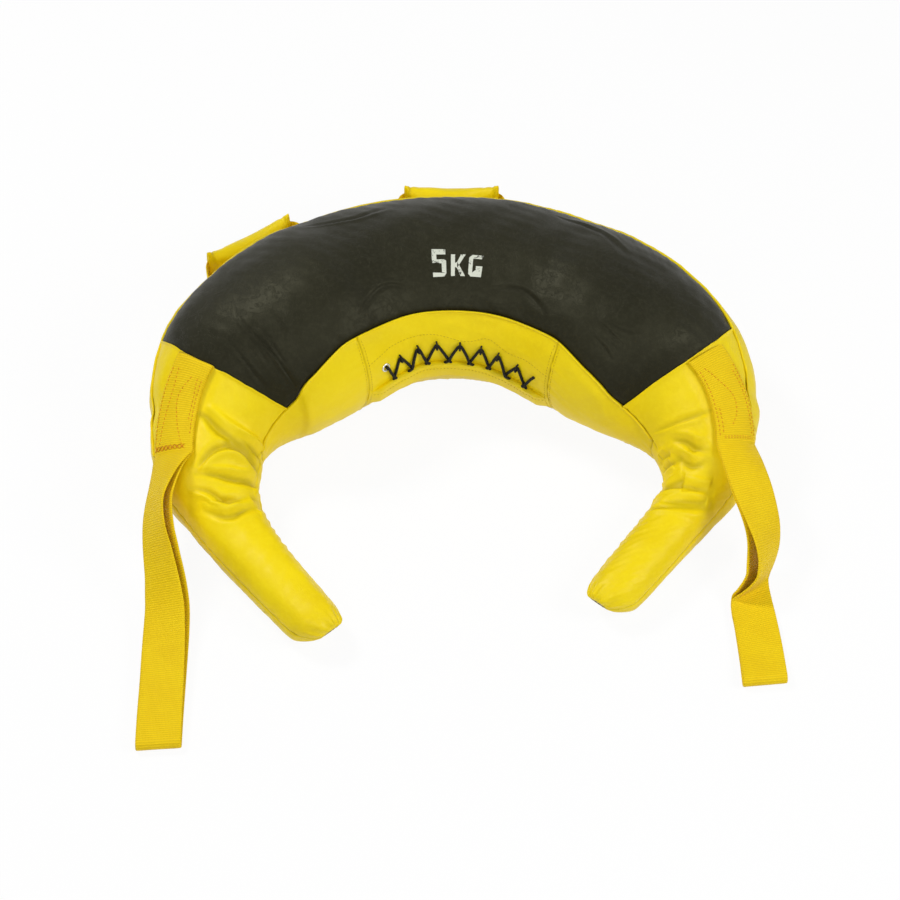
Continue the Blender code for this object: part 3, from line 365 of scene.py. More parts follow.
def outer_seam(place):
    return on_sides("outer", place)


def panel_end(side, across):
    """How far from the middle the dark panel ends, at a share across it from its outer seam."""
    table = np.array(LEFT_PANEL_END if side is LEFT else RIGHT_PANEL_END)
    return np.interp(across, *refine(table, 8).T)


def neck(side):
    return side.sign * NECK_SHARE * side.length


SLIT_PLACES = np.linspace(-LACED_LEFT, LACED_RIGHT, PATH_STEPS)
SLIT_ANGLES = [smooth(SLIT, (p + LACED_LEFT) / (LACED_LEFT + LACED_RIGHT)) for p in SLIT_PLACES]


def slit_angle(place):
    return np.interp(place, SLIT_PLACES, SLIT_ANGLES)


def tongue_end(place):
    return slit_angle(place) + LOWER_HOLE_DROP * TONGUE_SHARE


def cover_lift(place, angle):
    room = SKIN + LACE_DIAMETER + 3 * CLEARANCE
    past_tongue = (angle - tongue_end(place)) / LOWER_HOLE_DROP
    from_end = np.minimum(place + LACED_LEFT, LACED_RIGHT - place)
    return room * (1 - ease(past_tongue - COVER_FALL_SHARE)) * ease(from_end / 0.015)


# Materials.

def node(tree, kind, inputs=None, **settings):
    made = tree.nodes.new("ShaderNode" + kind)
    for key, value in settings.items():
        setattr(made, key, value)
    set_inputs(tree, made, inputs or {})
    return made


def set_inputs(tree, owner, values):
    """Links or sets a node's inputs, by name or number."""
    for key, value in values.items():
        socket = owner.inputs[key]
        if isinstance(value, bpy.types.NodeSocket):
            tree.links.new(value, socket)
        else:
            socket.default_value = (*value, 1) if socket.type == "RGBA" else value


def math_node(tree, operation, *values):
    return node(tree, "Math", dict(enumerate(values)), operation=operation).outputs[0]


def ramp(tree, value, *stops):
    """The colour at a value between stops, each a place and a colour or a grey."""
    made = node(tree, "ValToRGB", {"Fac": value})
    elements = made.color_ramp.elements
    while len(elements) < len(stops):
        elements.new(0.5)
    for element, (place, colour) in zip(elements, stops):
        element.position = place
        element.color = (*np.broadcast_to(colour, 3), 1)
    return made.outputs["Color"]


def mixed(tree, share, first, second):
    return node(tree, "Mix", {0: share, 6: first, 7: second}, data_type="RGBA").outputs[2]


def new_material(name, by_uv=False):
    """A material, its tree, its shader and the places on it, by its object or its UV map."""
    made = bpy.data.materials.new(name)
    made.use_nodes = True
    tree = made.node_tree
    if by_uv:
        where = node(tree, "UVMap", uv_map="UVMap").outputs["UV"]
    else:
        where = node(tree, "TexCoord").outputs["Object"]
    return made, tree, tree.nodes["Principled BSDF"], where


def noise(tree, where, scale, detail=3.0, rough=0.5, distortion=0.0):
    return node(tree, "TexNoise", {"Vector": where, "Scale": scale, "Detail": detail,
                                   "Roughness": rough, "Distortion": distortion}).outputs["Fac"]


def bump(tree, height, distance, strength, normal=None):
    inputs = {"Height": height, "Distance": distance, "Strength": strength}
    if normal is not None:
        inputs["Normal"] = normal
    return node(tree, "Bump", inputs).outputs["Normal"]


def leather(name, colour, shade, light, roughness, grain, gloss, tint=(1, 1, 1)):
    """Coated leather: pebble grain, fine creases, soft colour variation and painted shade in its
    seams.

    A point attribute of the piece darkens the colour in its seams and fold valleys, as painted shade.
    """
    made, tree, shader, where = new_material(name)
    cloud = noise(tree, where, 14.0, 4.0, 0.55)
    base = mixed(tree, ramp(tree, cloud, (0.32, 0), (0.72, 1)), shade, colour)
    speck = noise(tree, where, 260.0, 2.0)
    base = mixed(tree, ramp(tree, speck, (0.45, 0), (0.8, 0.35)), base, light)
    # Painted shade: a point attribute of the piece darkens the colour in seams, fold valleys and
    # grooves.
    painted_shade = node(tree, "Attribute", attribute_name="painted_shade").outputs["Fac"]
    base = mixed(tree, painted_shade, base, tuple(0.32 * c for c in shade))
    pebble = node(tree, "TexVoronoi", {"Vector": where, "Scale": 780.0},
                  feature="DISTANCE_TO_EDGE").outputs["Distance"]
    pebble = ramp(tree, pebble, (0.0, 0), (0.28, 1))
    crease = noise(tree, where, 70.0, 6.0, 0.62, 1.4)
    crease = ramp(tree, crease, (0.47, 1), (0.5, 0), (0.53, 1))
    rough = math_node(tree, "MULTIPLY_ADD", cloud, 0.12, roughness - 0.06)
    normal = bump(tree, crease, 0.00018, grain)
    normal = bump(tree, pebble, 0.00010, grain, normal)
    set_inputs(tree, shader, {"Base Color": base, "Roughness": rough, "Normal": normal,
                              "Coat Roughness": 0.34, "Specular IOR Level": gloss,
                              "Specular Tint": tint})
    return made


def webbing(name, colour, shade, light, pitch=0.0021):
    """Woven webbing: ribs across and fine warp threads along, from its UV map."""
    made, tree, shader, where = new_material(name, True)
    along, across, _ = node(tree, "SeparateXYZ", {"Vector": where}).outputs
    wobble = noise(tree, where, 90.0, 2.0)
    shifted = math_node(tree, "MULTIPLY_ADD", wobble, 0.0006, along)
    rib = math_node(tree, "SINE", math_node(tree, "MULTIPLY", shifted, 2 * math.pi / pitch))
    warp = math_node(tree, "SINE", math_node(tree, "MULTIPLY", across, 2 * math.pi / 0.0013))
    offset = math_node(tree, "MULTIPLY", warp, 0.35)
    height = math_node(tree, "ADD", rib, offset)
    cloud = noise(tree, where, 40.0, 4.0, 0.6)
    fibre = noise(tree, where, 1500.0, 2.0, 0.6)
    base = mixed(tree, ramp(tree, cloud, (0.3, 0), (0.7, 1)), shade, colour)
    # Painted shade: the colour darkens in the hollows between the ribs.
    lift = ramp(tree, math_node(tree, "MULTIPLY_ADD", rib, 0.5, 0.5), (0.3, 1), (1, 0))
    base = mixed(tree, mixed(tree, 0.34, (0, 0, 0), lift), base, tuple(0.6 * c for c in shade))
    base = mixed(tree, ramp(tree, fibre, (0.5, 0), (0.85, 0.5)), base, light)
    normal = bump(tree, height, 0.00016, 0.8)
    normal = bump(tree, fibre, 0.00006, 0.5, normal)
    set_inputs(tree, shader, {"Base Color": base, "Roughness": 0.62, "Normal": normal,
                              "Specular IOR Level": 0.15, "Sheen Weight": 0.05,
                              "Sheen Roughness": 0.4})
    return made


def cord_material(name, dark, light, pitch):
    """Braided cord: two sets of slanting strands from the tube's UV map."""
    made, tree, shader, where = new_material(name, True)
    along, across, _ = node(tree, "SeparateXYZ", {"Vector": where}).outputs
    turns = []
    for slant in (1, -1):
        phase = math_node(tree, "MULTIPLY", along, 2 * math.pi / pitch)
        spin = math_node(tree, "MULTIPLY", across, slant * 2 * math.pi * 3)
        turns.append(math_node(tree, "SINE", math_node(tree, "ADD", phase, spin)))
    braid = math_node(tree, "MAXIMUM", *turns)
    # Painted shade: the colour is darker in the hollows between the strands.
    base = ramp(tree, braid, (0.2, dark), (0.9, light))
    set_inputs(tree, shader, {"Base Color": base, "Roughness": 0.7, "Specular IOR Level": 0.2,
                              "Normal": bump(tree, braid, 0.00018, 0.7)})
    return made


def cloth(name, colour, scale):
    made, tree, shader, where = new_material(name)
    cloud = noise(tree, where, scale, 5.0, 0.6)
    base = mixed(tree, cloud, tuple(0.7 * c for c in colour), colour)
    set_inputs(tree, shader, {"Base Color": base, "Roughness": 0.9,
                              "Normal": bump(tree, cloud, 0.0006, 0.5)})
    return made


YELLOW = leather("yellow_leather", (0.90, 0.70, 0.004), (0.82, 0.615, 0.003), (0.93, 0.76, 0.012),
                 0.42, 0.35, 0.2)
BLACK = leather("black_leather", (0.0142, 0.0138, 0.0076), (0.0100, 0.0097, 0.0054),
                (0.029, 0.028, 0.0165), 0.41, 0.5, 0.15, (1, 0.97, 0.66))
CAP = leather("cap_leather", (0.045, 0.045, 0.05), (0.028, 0.028, 0.032), (0.09, 0.09, 0.095),
              0.5, 0.5, 0.3)
WEBBING = webbing("yellow_webbing", (0.92, 0.65, 0.004), (0.86, 0.58, 0.003), (0.95, 0.76, 0.02))
THREAD = cord_material("orange_thread", (0.62, 0.2, 0.01), (0.85, 0.33, 0.015), 0.0011)
YELLOW_THREAD = cord_material("yellow_thread", (0.42, 0.27, 0.008), (0.66, 0.47, 0.02), 0.0011)
LACE = cord_material("lace_cord", (0.004, 0.004, 0.003), (0.02, 0.0195, 0.015), 0.0042)
WADDING = cloth("wadding", (0.62, 0.6, 0.55), 90.0)
SAND = cloth("sand_cloth", (0.3, 0.29, 0.26), 320.0)
FOAM = cloth("foam", (0.3, 0.3, 0.32), 420.0)


def metal_material():
    made, tree, shader, where = new_material("eyelet_metal")
    cloud = noise(tree, where, 900.0, 3.0)
    base = mixed(tree, cloud, (0.62, 0.62, 0.6), (0.86, 0.86, 0.85))
    set_inputs(tree, shader, {"Base Color": base, "Metallic": 1.0,
                              "Roughness": ramp(tree, cloud, (0.2, 0.2), (0.9, 0.36))})
    return made


def ink_material():
    """Worn white print on the black leather."""
    made, tree, shader, where = new_material("white_print")
    chips = noise(tree, where, 210.0, 5.0, 0.68, 0.6)
    chips = ramp(tree, chips, (0.57, 0), (0.63, 1))
    cloud = noise(tree, where, 40.0, 2.0)
    ink = mixed(tree, cloud, (0.52, 0.55, 0.45), (0.68, 0.7, 0.6))
    set_inputs(tree, shader, {"Base Color": mixed(tree, chips, ink, (0.03, 0.029, 0.02)),
                              "Roughness": 0.5, "Normal": bump(tree, chips, -0.0001, 0.6)})
    return made


METAL = metal_material()
INK = ink_material()


# Mesh building.

def waves(points, size, seed, count=9):
    """A smooth random field over points, about -1 to 1, with bumps of about that size."""
    rng = np.random.default_rng(seed)
    directions = unit(rng.normal(size=(count, 3)))
    directions *= (math.pi / size * rng.uniform(0.6, 1.4, count))[:, None]
    phases = rng.uniform(0, 2 * math.pi, count)
    return np.sin(points @ directions.T + phases).sum(-1) / math.sqrt(count)


def add_object(name, data):
    made = bpy.data.objects.new(name, data)
    bpy.context.scene.collection.objects.link(made)
    return made


def mesh_object(name, points, faces, material, uvs=None, painted_shade=None):
    """A smooth mesh with a UV place and an amount of painted shade for each point, if they are given.
    """
    mesh = bpy.data.meshes.new(name)
    mesh.from_pydata(np.array(points, float).tolist(), [], faces)
    mesh.polygons.foreach_set("use_smooth", [True] * len(faces))
    mesh.materials.append(material)
    if uvs is not None:
        layer = mesh.uv_layers.new(name="UVMap")
        order = np.zeros(len(mesh.loops), int)
        mesh.loops.foreach_get("vertex_index", order)
        layer.data.foreach_set("uv", np.asarray(uvs, np.float32)[order].ravel())
    if painted_shade is not None:
        layer = mesh.attributes.new("painted_shade", "FLOAT", "POINT")
        layer.data.foreach_set("value", np.asarray(painted_shade, np.float32))
    return add_object(name, mesh)


def grid_mesh(name, layers, material, uvs=None, painted_shade=None, closed=False):
    """A mesh of one or two grids of points. Two grids make a closed shell with a rim."""
    rows, columns = layers[0].shape[:2]

    def index(layer, r, c):
        return layer * rows * columns + r * columns + c % columns

    faces = []
    for layer in range(len(layers)):
        for r in range(rows - 1):
            for c in range(columns if closed else columns - 1):
                face = (index(layer, r, c), index(layer, r, c + 1),
                        index(layer, r + 1, c + 1), index(layer, r + 1, c))
                faces.append(face if layer else face[::-1])
    if closed:
        rims = [[(0, c) for c in range(columns)],
                [(rows - 1, c) for c in range(columns - 1, -1, -1)]]
    else:
        rims = [[(0, c) for c in range(columns - 1)]
                + [(r, columns - 1) for r in range(rows - 1)]
                + [(rows - 1, c) for c in range(columns - 1, 0, -1)]
                + [(r, 0) for r in range(rows - 1, 0, -1)]]
    for rim in rims[:0 if len(layers) == 1 else None]:
        for (r, c), (s, d) in zip(rim, rim[1:] + rim[:1]):
            faces.append((index(0, r, c), index(0, s, d), index(1, s, d), index(1, r, c)))
    if uvs is not None:
        uvs = np.concatenate([uvs.reshape(-1, 2)] * len(layers))
    if painted_shade is not None:
        painted_shade = np.concatenate([painted_shade.ravel()] * len(layers))
    points = np.concatenate([layer.reshape(-1, 3) for layer in layers])
    made = mesh_object(name, points, faces, material, uvs, painted_shade)
    outward(made.data)
    return made


def outward(mesh):
    """Turns the faces of a closed mesh so that they face out."""
    count = len(mesh.polygons)
    centres, normals, areas = np.zeros(count * 3), np.zeros(count * 3), np.zeros(count)
    for name, values in (("center", centres), ("normal", normals), ("area", areas)):
        mesh.polygons.foreach_get(name, values)
    if (centres.reshape(-1, 3) * normals.reshape(-1, 3)).sum(1) @ areas < 0:
        mesh.flip_normals()


def finish_piece(made, slot, body, *nodes):
    if nodes:
        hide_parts(*nodes)
    if body:
        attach(made, body)


# Seam styles: how deep the edge is tucked in, how proud its fold stands, the width of both, how
# far in the fold lies, and how strongly painted shade darkens the seam.
TUCKED = (0.0016, 0.0, 0.0030, 0.003, 0.5)
EDGED = (0.0005, 0.0, 0.0020, 0.003, 0.4)
FOLDED = (0.0010, 0.0010, 0.0018, 0.0022, 0.3)
PIPED = (0.0, 0.0017, 0.0016, 0.0005, 0.0)
PLAIN = (0.0008, 0.0, 0.0018, 0.002, 0.3)
FREE = (0.0, 0.0, 0.0020, 0.002, 0.0)
# The leather: how far its padding stands out and how thick its shell is, the gathers at seams,
# how far from a seam it is fully padded, its uneven spots, how high over the floor it is free to
# bulge, the fold depth that sets its painted shade and the width of the painted shade along a
# seam, and how webbing presses it down.
BULGE = 0.0012
SHELL = 0.0016
PUCKER_SIZE, PUCKER_REACH, PUCKER_DEPTH = 0.011, 0.016, 0.0006
PADDED_FROM = 0.02
LUMP_SIZE = 0.06
WRINKLE, WRINKLE_SIZE = 0.00022, 0.008
LAID_FLAT_BELOW = 0.012
FOLD_SHADE_DEPTH, SEAM_SHADE_WIDTH = 0.0042, 0.0009
PRESS_REACH, PRESS_FADE = 0.003, 0.009
STRAP_PRESSES_TO, BAND_PRESSES_TO = -0.0006, -0.0003
# The leather drawn in at a tip: how far from it its pleats and its roll reach, and their depth.
GATHER_REACH, PLEAT, ROLL_REACH, ROLL = 0.018, 0.0011, 0.004, 0.0028
# The end caps: points round them, rings from rim to middle, the dome's height and the rim's drop.
CAP_POINTS = 64
CAP_RINGS = (1.0, 0.97, 0.9, 0.75, 0.55, 0.3, 0.08)
CAP_DOME, CAP_EDGE = 0.0012, 0.0008
WELD_GAP = 1e-6


def edge_shape(distance, style):
    """Height of a panel near one of its seams, at a distance from it."""
    depth, proud, width, centre, _ = style
    tuck = -depth * np.exp(-(distance / width) ** 2 * 1.6)
    fold = proud * ridge_at(distance, centre, 0.7 * width)
    return tuck + fold


def pucker(distance, along, seed, points):
    """Small gathers that run away from a seam."""
    drift = waves(points, 0.05, seed) * 2.2
    ripple = np.sin(2 * math.pi * along / PUCKER_SIZE + drift)
    strength = np.clip(0.5 + waves(points, 0.06, seed + 1) * 0.6, 0, 1.2)
    return PUCKER_DEPTH * ripple * strength * np.exp(-distance / PUCKER_REACH)


def leather_panel(name, bounds, styles, material=YELLOW, step=0.003, lift=None,
                  puckers=(1, 1, 1, 1), lumps=0.0009, seed=1, bulge=BULGE, held_flat=True,
                  node_name=None):
    """A skin panel as a thin padded shell between two end seams and two long seams.

    bounds are the start and end as functions of a share across, then the low and high seam as
    functions of a place. styles are the four seams' shapes. The panel replaces the solid of its
    own name, with "leather" as "panel", or else the one that is named.
    """
    start, end, low, high = bounds
    middle = mix(start(0.5), end(0.5), np.linspace(0, 1, 40))
    lows, highs = low(middle), high(middle)
    run = lengths_along(tube(middle, (lows + highs) / 2))[-1]
    spread = max(np.radians(np.abs(highs - lows)) * half_width(middle))
    u = pack_ends(max(int(run / step), 8) + 1)[:, None]
    v = pack_ends(max(int(spread / step), 6) + 1)[None, :]
    place = mix(start(v), end(v), u)
    angle = mix(low(place), high(place), v)
    flat = tube(place, angle)
    down, over = lengths_along(flat), lengths_along(flat, 1)
    edges = (down, down[-1:] - down, over, over[:, -1:] - over)
    height, inside = np.zeros(place.shape), 1
    for i, (distance, style) in enumerate(zip(edges, styles)):
        height += edge_shape(distance, style)
        inside = inside * ease(distance / PADDED_FROM)
        if puckers[i]:
            along = over if i < 2 else down
            height += puckers[i] * pucker(distance, along, seed * 10 + i, flat)
    height += inside * (bulge + lumps * waves(flat, LUMP_SIZE, seed)
                        + 0.4 * lumps * waves(flat, 0.4 * LUMP_SIZE, seed + 1))
    folded = folds_at(flat)
    height += folded + dents_at(flat) + WRINKLE * waves(flat, WRINKLE_SIZE, seed + 2)
    if lift:
        height += lift(place, angle)
    on_floor = ease(1 - flat[..., 2] / LAID_FLAT_BELOW)
    height = mix(height, np.minimum(height, 0), on_floor)
    if held_flat:
        height = pressed(flat, height)
    outer = tube(place, angle, height)
    inner = tube(place, angle, np.minimum(height, 0) - SHELL)
    # Painted shade: the colour is darker in the fold valleys and along the seams.
    painted_shade = np.clip(-folded / FOLD_SHADE_DEPTH, 0, 0.5) ** 1.2
    for distance, style in zip(edges, styles):
        painted_shade = np.maximum(painted_shade, style[4] * ridge_at(distance, 0, SEAM_SHADE_WIDTH))
    made = grid_mesh(name, [outer, inner], material, np.stack((down, over), -1), painted_shade)
    SKINS.append(made)
    slot = "black_leather" if material is BLACK else "yellow_leather"
    finish_piece(made, slot, "bag", node_name or name.replace("leather", "panel"))


SKINS = []


def pressed(points, height):
    """The leather's height where webbing is sewn down on it, which holds it flat."""
    for footprint, level in PRESSES:
        gaps = np.full(height.shape, 1.0)
        for spot in footprint:
            gaps = np.minimum(gaps, np.linalg.norm(points - spot, axis=-1))
        share = ease(1 - (gaps - PRESS_REACH) / PRESS_FADE)
        height = mix(height, np.minimum(height, level), share)
    return height


def pack_ends(count):
    """Shares from 0 to 1 with closer steps at both ends, where the seams are."""
    inner = np.linspace(0, 1, count)
    edge = 1 / (count - 1)
    extra = np.array([0.25, 0.5, 0.75, 1.3]) * edge
    every = np.concatenate((inner, extra, 1 - extra))
    return np.unique(np.round(every, 9))


# Soft creases, each as a run of (place, angle) points with its depth and width. The deep ones
# are where the horns bend, the fine ones on the dark panel.
FOLDS = (
    (((-0.300, 80), (-0.307, 93), (-0.321, 110), (-0.331, 130), (-0.338, 160)), 0.0042, 0.0058),
    (((-0.352, 66), (-0.341, 88), (-0.335, 108), (-0.336, 128), (-0.345, 150), (-0.35, 185)),
     0.0040, 0.0046),
    (((-0.35, 66), (-0.356, 86), (-0.362, 104), (-0.366, 124), (-0.366, 150), (-0.366, 190)),
     0.0036, 0.0042),
    (((-0.357, 52), (-0.366, 72), (-0.377, 84), (-0.384, 98), (-0.384, 130), (-0.38, 175)),
     0.0034, 0.0038),
    (((-0.374, 50), (-0.389, 68), (-0.396, 85), (-0.395, 106), (-0.392, 140), (-0.39, 175)),
     0.0032, 0.0040),
    (((-0.374, 70), (-0.38, 88), (-0.382, 108)), 0.0020, 0.0028),
    (((-0.32, 120), (-0.326, 150), (-0.33, 185)), 0.0026, 0.0040),
    (((0.296, 164), (0.303, 140), (0.305, 112), (0.303, 92), (0.298, 78)), 0.0020, 0.0030),
    (((0.318, 140), (0.326, 118), (0.332, 104), (0.332, 82)), 0.0038, 0.0048),
    (((0.333, 185), (0.333, 156), (0.337, 126), (0.334, 102)), 0.0026, 0.0036),
    (((0.345, 190), (0.345, 156), (0.343, 126), (0.347, 102), (0.337, 78)), 0.0038, 0.0044),
    (((0.366, 180), (0.368, 144), (0.36, 106), (0.353, 76)), 0.0024, 0.0036),
    (((0.377, 190), (0.373, 140), (0.366, 98), (0.363, 70), (0.359, 48)), 0.0042, 0.0044),
    (((0.391, 128), (0.385, 97), (0.375, 67), (0.362, 40)), 0.0034, 0.0042),
    (((0.398, 160), (0.398, 126), (0.389, 87), (0.378, 56), (0.366, 28)), 0.0024, 0.0038),
    (((-0.222, 86), (-0.228, 99), (-0.228, 113), (-0.228, 128), (-0.229, 138), (-0.227, 152)),
     0.0017, 0.0015),
    (((-0.242, 86), (-0.249, 102), (-0.253, 110), (-0.258, 124), (-0.261, 137)), 0.0015, 0.0015),
    (((-0.222, 98), (-0.219, 112), (-0.222, 125), (-0.223, 136)), 0.0011, 0.0014),
    (((-0.2, 102), (-0.199, 112), (-0.2, 117), (-0.203, 124)), 0.0012, 0.0014),
    (((-0.235, 104), (-0.238, 116), (-0.243, 128)), 0.0009, 0.0013),
    (((0.174, 121), (0.196, 124), (0.217, 127)), 0.0011, 0.0015),
    (((0.18, 119), (0.2, 118), (0.219, 113)), 0.0011, 0.0015),
    (((0.174, 129), (0.195, 133), (0.207, 138)), 0.0009, 0.0015),
    (((0.186, 127), (0.2, 129), (0.214, 133)), 0.0008, 0.0014),
    (((0.05, 128), (0.09, 124), (0.128, 132)), 0.0014, 0.0024),
    (((-0.12, 56), (-0.08, 66), (-0.05, 62)), 0.0012, 0.0030),
    (((0.08, 58), (0.12, 62), (0.16, 72)), 0.0012, 0.0030),
    (((-0.05, 128), (-0.09, 122), (-0.13, 132)), 0.0012, 0.0024),
)


# Wide dents in the shoulders' outer sides: (route of (place, angle), depth, half width).
DENTS = (
    (((-0.284, -16), (-0.286, 10), (-0.288, 36), (-0.287, 58)), 0.0030, 0.0105),
    (((-0.334, -12), (-0.337, 14), (-0.338, 36)), 0.0026, 0.0085),
    (((0.276, -18), (0.280, 8), (0.284, 34), (0.286, 56)), 0.0030, 0.0130),
    (((0.312, -16), (0.316, 10), (0.318, 34)), 0.0028, 0.0140),
)


# A crease's width at both its ends, and its ridge's middle, width, height and slant to one side,
# as shares of the width and depth that its row gives.
CREASE_WIDTHS = (0.75, 1.35)
RIDGE_MIDDLE, RIDGE_WIDTH, RIDGE_HEIGHT, RIDGE_SLANT = 1.4, 0.75, 0.6, 0.35


def dents_at(points):
    """The depth of all dents, as a height below the skin."""
    height = np.zeros(points.shape[:-1])
    for route, depth, width in DENTS:
        line = tube(*refine(route, 8).T)
        gaps = np.linalg.norm(points[..., None, :] - line, axis=-1).min(-1)
        height -= depth * ridge_at(gaps, 0, width)
    return height


def folds_at(points):
    """The height of all creases: each a sharp valley with a rounded ridge along one side."""
    height = np.zeros(points.shape[:-1])
    for number, (route, size, width) in enumerate(FOLDS):
        line = tube(*refine(route, 6).T)
        start, step = line[:-1], np.diff(line, axis=0)
        away = points[..., None, :] - start
        part = np.clip((away * step).sum(-1) / (step ** 2).sum(-1), 0, 1)
        away -= part[..., None] * step
        gaps = np.linalg.norm(away, axis=-1)
        nearest = gaps.argmin(-1)[..., None]
        distance = np.take_along_axis(gaps, nearest, -1)[..., 0]
        share = (nearest + np.take_along_axis(part, nearest, -1))[..., 0] / len(start)
        away = np.take_along_axis(away, nearest[..., None], -2)[..., 0, :]
        upwards = start[nearest[..., 0]] * (0, 0, 1) - (0, 0, 0.05)
        side = (np.cross(step[nearest[..., 0]], away) * upwards).sum(-1)
        spread = width * mix(*CREASE_WIDTHS, share)
        side = np.sign(side) * (-1) ** number * np.tanh(distance / (0.3 * spread))
        taper = np.sin(math.pi * np.clip(share, 0, 1)) ** 0.8
        away = np.sqrt((distance / spread) ** 2 + 0.03) - 0.17
        valley = np.exp(-1.5 * np.maximum(away, 0) ** 1.2)
        ridge = ridge_at(away, RIDGE_MIDDLE, RIDGE_WIDTH) * (RIDGE_HEIGHT + RIDGE_SLANT * side)
        height += size * taper * (ridge - valley)
    return height


# Skins.

def flat_end(place):
    """An end seam at one place, for any share across."""
    return lambda v: place + 0 * v


def lower_seam(place):
    return -LOWER_SEAM_ANGLE + 0 * place


def lower_inner_seam(place):
    return 180 + LOWER_SEAM_ANGLE + 0 * place


def build_skins():
    leather_panel("top_leather", (lambda v: -panel_end(LEFT, v), lambda v: panel_end(RIGHT, v),
                                  outer_seam, inner_seam), (EDGED, EDGED, TUCKED, TUCKED),
                  BLACK, 0.0017, puckers=(0.1, 0.1, 0.7, 0.3), seed=3, held_flat=False)
    ends = flat_end(neck(LEFT)), flat_end(neck(RIGHT))
    leather_panel("outer_leather", (*ends, lower_seam, outer_seam), (PLAIN, PLAIN, PLAIN, PIPED),
                  puckers=(0.5, 0.5, 0.5, 0.3), seed=5)
    leather_panel("base_leather", (*ends, lambda p: lower_inner_seam(p) - 360, lower_seam),
                  (PLAIN,) * 4, step=0.006, seed=7, node_name="bottom_panel")
    for name, first, last in (("left", neck(LEFT), -LACED_LEFT),
                              ("right", LACED_RIGHT, neck(RIGHT))):
        leather_panel(f"inner_{name}_leather",
                      (flat_end(first), flat_end(last), inner_seam, lower_inner_seam),
                      (PLAIN, PLAIN, PIPED, PLAIN), puckers=(0.8, 0.6, 0.3, 1), seed=9)


def build_laced_panel():
    ends = flat_end(-LACED_LEFT), flat_end(LACED_RIGHT)
    leather_panel("upper_flap_leather", (*ends, inner_seam, slit_angle),
                  (PLAIN, PLAIN, PIPED, FREE), step=0.0022, puckers=(0.5, 0.5, 0.3, 0),
                  lumps=0.0003, bulge=0, seed=11, node_name="inner_upper_flap")
    leather_panel("tongue_leather", (*ends, slit_angle, tongue_end), (FREE,) * 4,
                  puckers=(0, 0, 0, 0), lumps=0, bulge=0, seed=13, node_name="lace_tongue")
    leather_panel("lower_flap_leather",
                  (*ends, lambda p: slit_angle(p) + COVER_DROP, lower_inner_seam),
                  (PLAIN, PLAIN, FREE, PLAIN), step=0.0022, lift=cover_lift,
                  puckers=(0, 0, 0, 0.7), lumps=0.0004, bulge=0, seed=15,
                  node_name="inner_lower_flap")


def build_horns():
    for name, side in SIDES:
        way = side.sign
        tip = flat_end(way * side.length)

        def start(v, side=side):
            return side.sign * panel_end(side, v)

        leather_panel(name + "_horn_top_leather",
                      (*(start, tip)[::way], outer_seam, inner_seam),
                      (*(PIPED, FREE)[::way], PLAIN, FOLDED), step=0.0015,
                      puckers=(*(0.3, 0)[::way], 0.6, 1), seed=21 + way, lift=gather)
        leather_panel(name + "_horn_under_leather",
                      (*(flat_end(neck(side)), tip)[::way],
                       lambda p: inner_seam(p) - 360, outer_seam),
                      (*(PLAIN, FREE)[::way], PLAIN, PLAIN),
                      puckers=(*(0.5, 0)[::way], 0.6, 0.6), seed=31 + way, lift=gather,
                      node_name=name + "_horn_bottom_panel")
        build_cap(name, side)


def gather(place, angle):
    """Pleats of the leather that is drawn in round the tip."""
    left = np.where(place < 0, LEFT_LENGTH, RIGHT_LENGTH) - np.abs(place)
    reach = np.clip(1 - left / GATHER_REACH, 0, 1)
    spin = np.radians(angle)
    pleats = np.sin(13 * spin + 1.4 * np.sin(3 * spin))
    roll = np.clip(1 - left / ROLL_REACH, 0, 1)
    return PLEAT * reach ** 1.5 * pleats - ROLL * roll ** 2


def build_cap(name, side):
    """The dark disc that closes a horn, slightly domed and creased."""
    angles = np.linspace(0, 360, CAP_POINTS, endpoint=False)
    rim = tube(side.sign * (side.length - END_CAP_INSET), angles, -SKIN - 2 * CLEARANCE)
    centre = rim.mean(0)
    normal = unit(np.cross(rim[0] - centre, rim[CAP_POINTS // 4] - centre))
    ahead = tube(side.sign * side.length, 90) - tube(side.sign * (side.length - 0.004), 90)
    normal *= 1 if normal @ ahead > 0 else -1
    rings = []
    for share in CAP_RINGS:
        dome = CAP_DOME * (1 - share ** 2) - CAP_EDGE * (share > 0.98)
        ring = centre + (rim - centre) * share + normal * dome
        ring += normal * (0.0003 * waves(ring, 0.006, 41) * (1 - share))[:, None]
        rings.append(ring)
    front = np.array(rings)
    made = grid_mesh(name + "_cap_leather", [front, front - normal * SHELL], CAP,
                     np.zeros((*front.shape[:2], 2)), np.zeros(front.shape[:2]), closed=True)
    mend(made)
    finish_piece(made, "cap_leather", "bag", name + "_end_cap")


def mend(made, weld=False):
    """Joins the points of a mesh that meet, or else fills its open rings with faces."""
    work = bmesh.new()
    work.from_mesh(made.data)
    if weld:
        bmesh.ops.remove_doubles(work, verts=work.verts, dist=WELD_GAP)
    else:
        bmesh.ops.holes_fill(work, edges=[e for e in work.edges if e.is_boundary], sides=0)
    bmesh.ops.recalc_face_normals(work, faces=work.faces)
    for face in work.faces:
        face.smooth = True
    work.to_mesh(made.data)
    work.free()


# Lacing and stitches.

def curve_points(points, count_per_metre=1600):
    """A smooth line through points, with evenly spaced points."""
    points = np.array([list(p) for p in points], float)
    steps = np.linalg.norm(np.diff(points, axis=0), axis=1)
    keys = np.concatenate(([0], np.cumsum(np.sqrt(steps))))
    last = len(points) - 1
    line = []
    for key in np.linspace(0, keys[-1], 8 * len(points)):
        i = min(max(int(np.searchsorted(keys, key)) - 1, 0), last - 1)
        span = keys[i + 1] - keys[i]
        slopes = [(points[b] - points[a]) / (keys[b] - keys[a]) * span
                  for a, b in ((max(i - 1, 0), i + 1), (i, min(i + 2, last)))]
        line.append(bend(points[i], points[i + 1], *slopes, (key - keys[i]) / span))
    run = lengths_along(line)
    even = np.linspace(0, run[-1], max(int(run[-1] * count_per_metre), 4))
    return sampled(even, run, line)


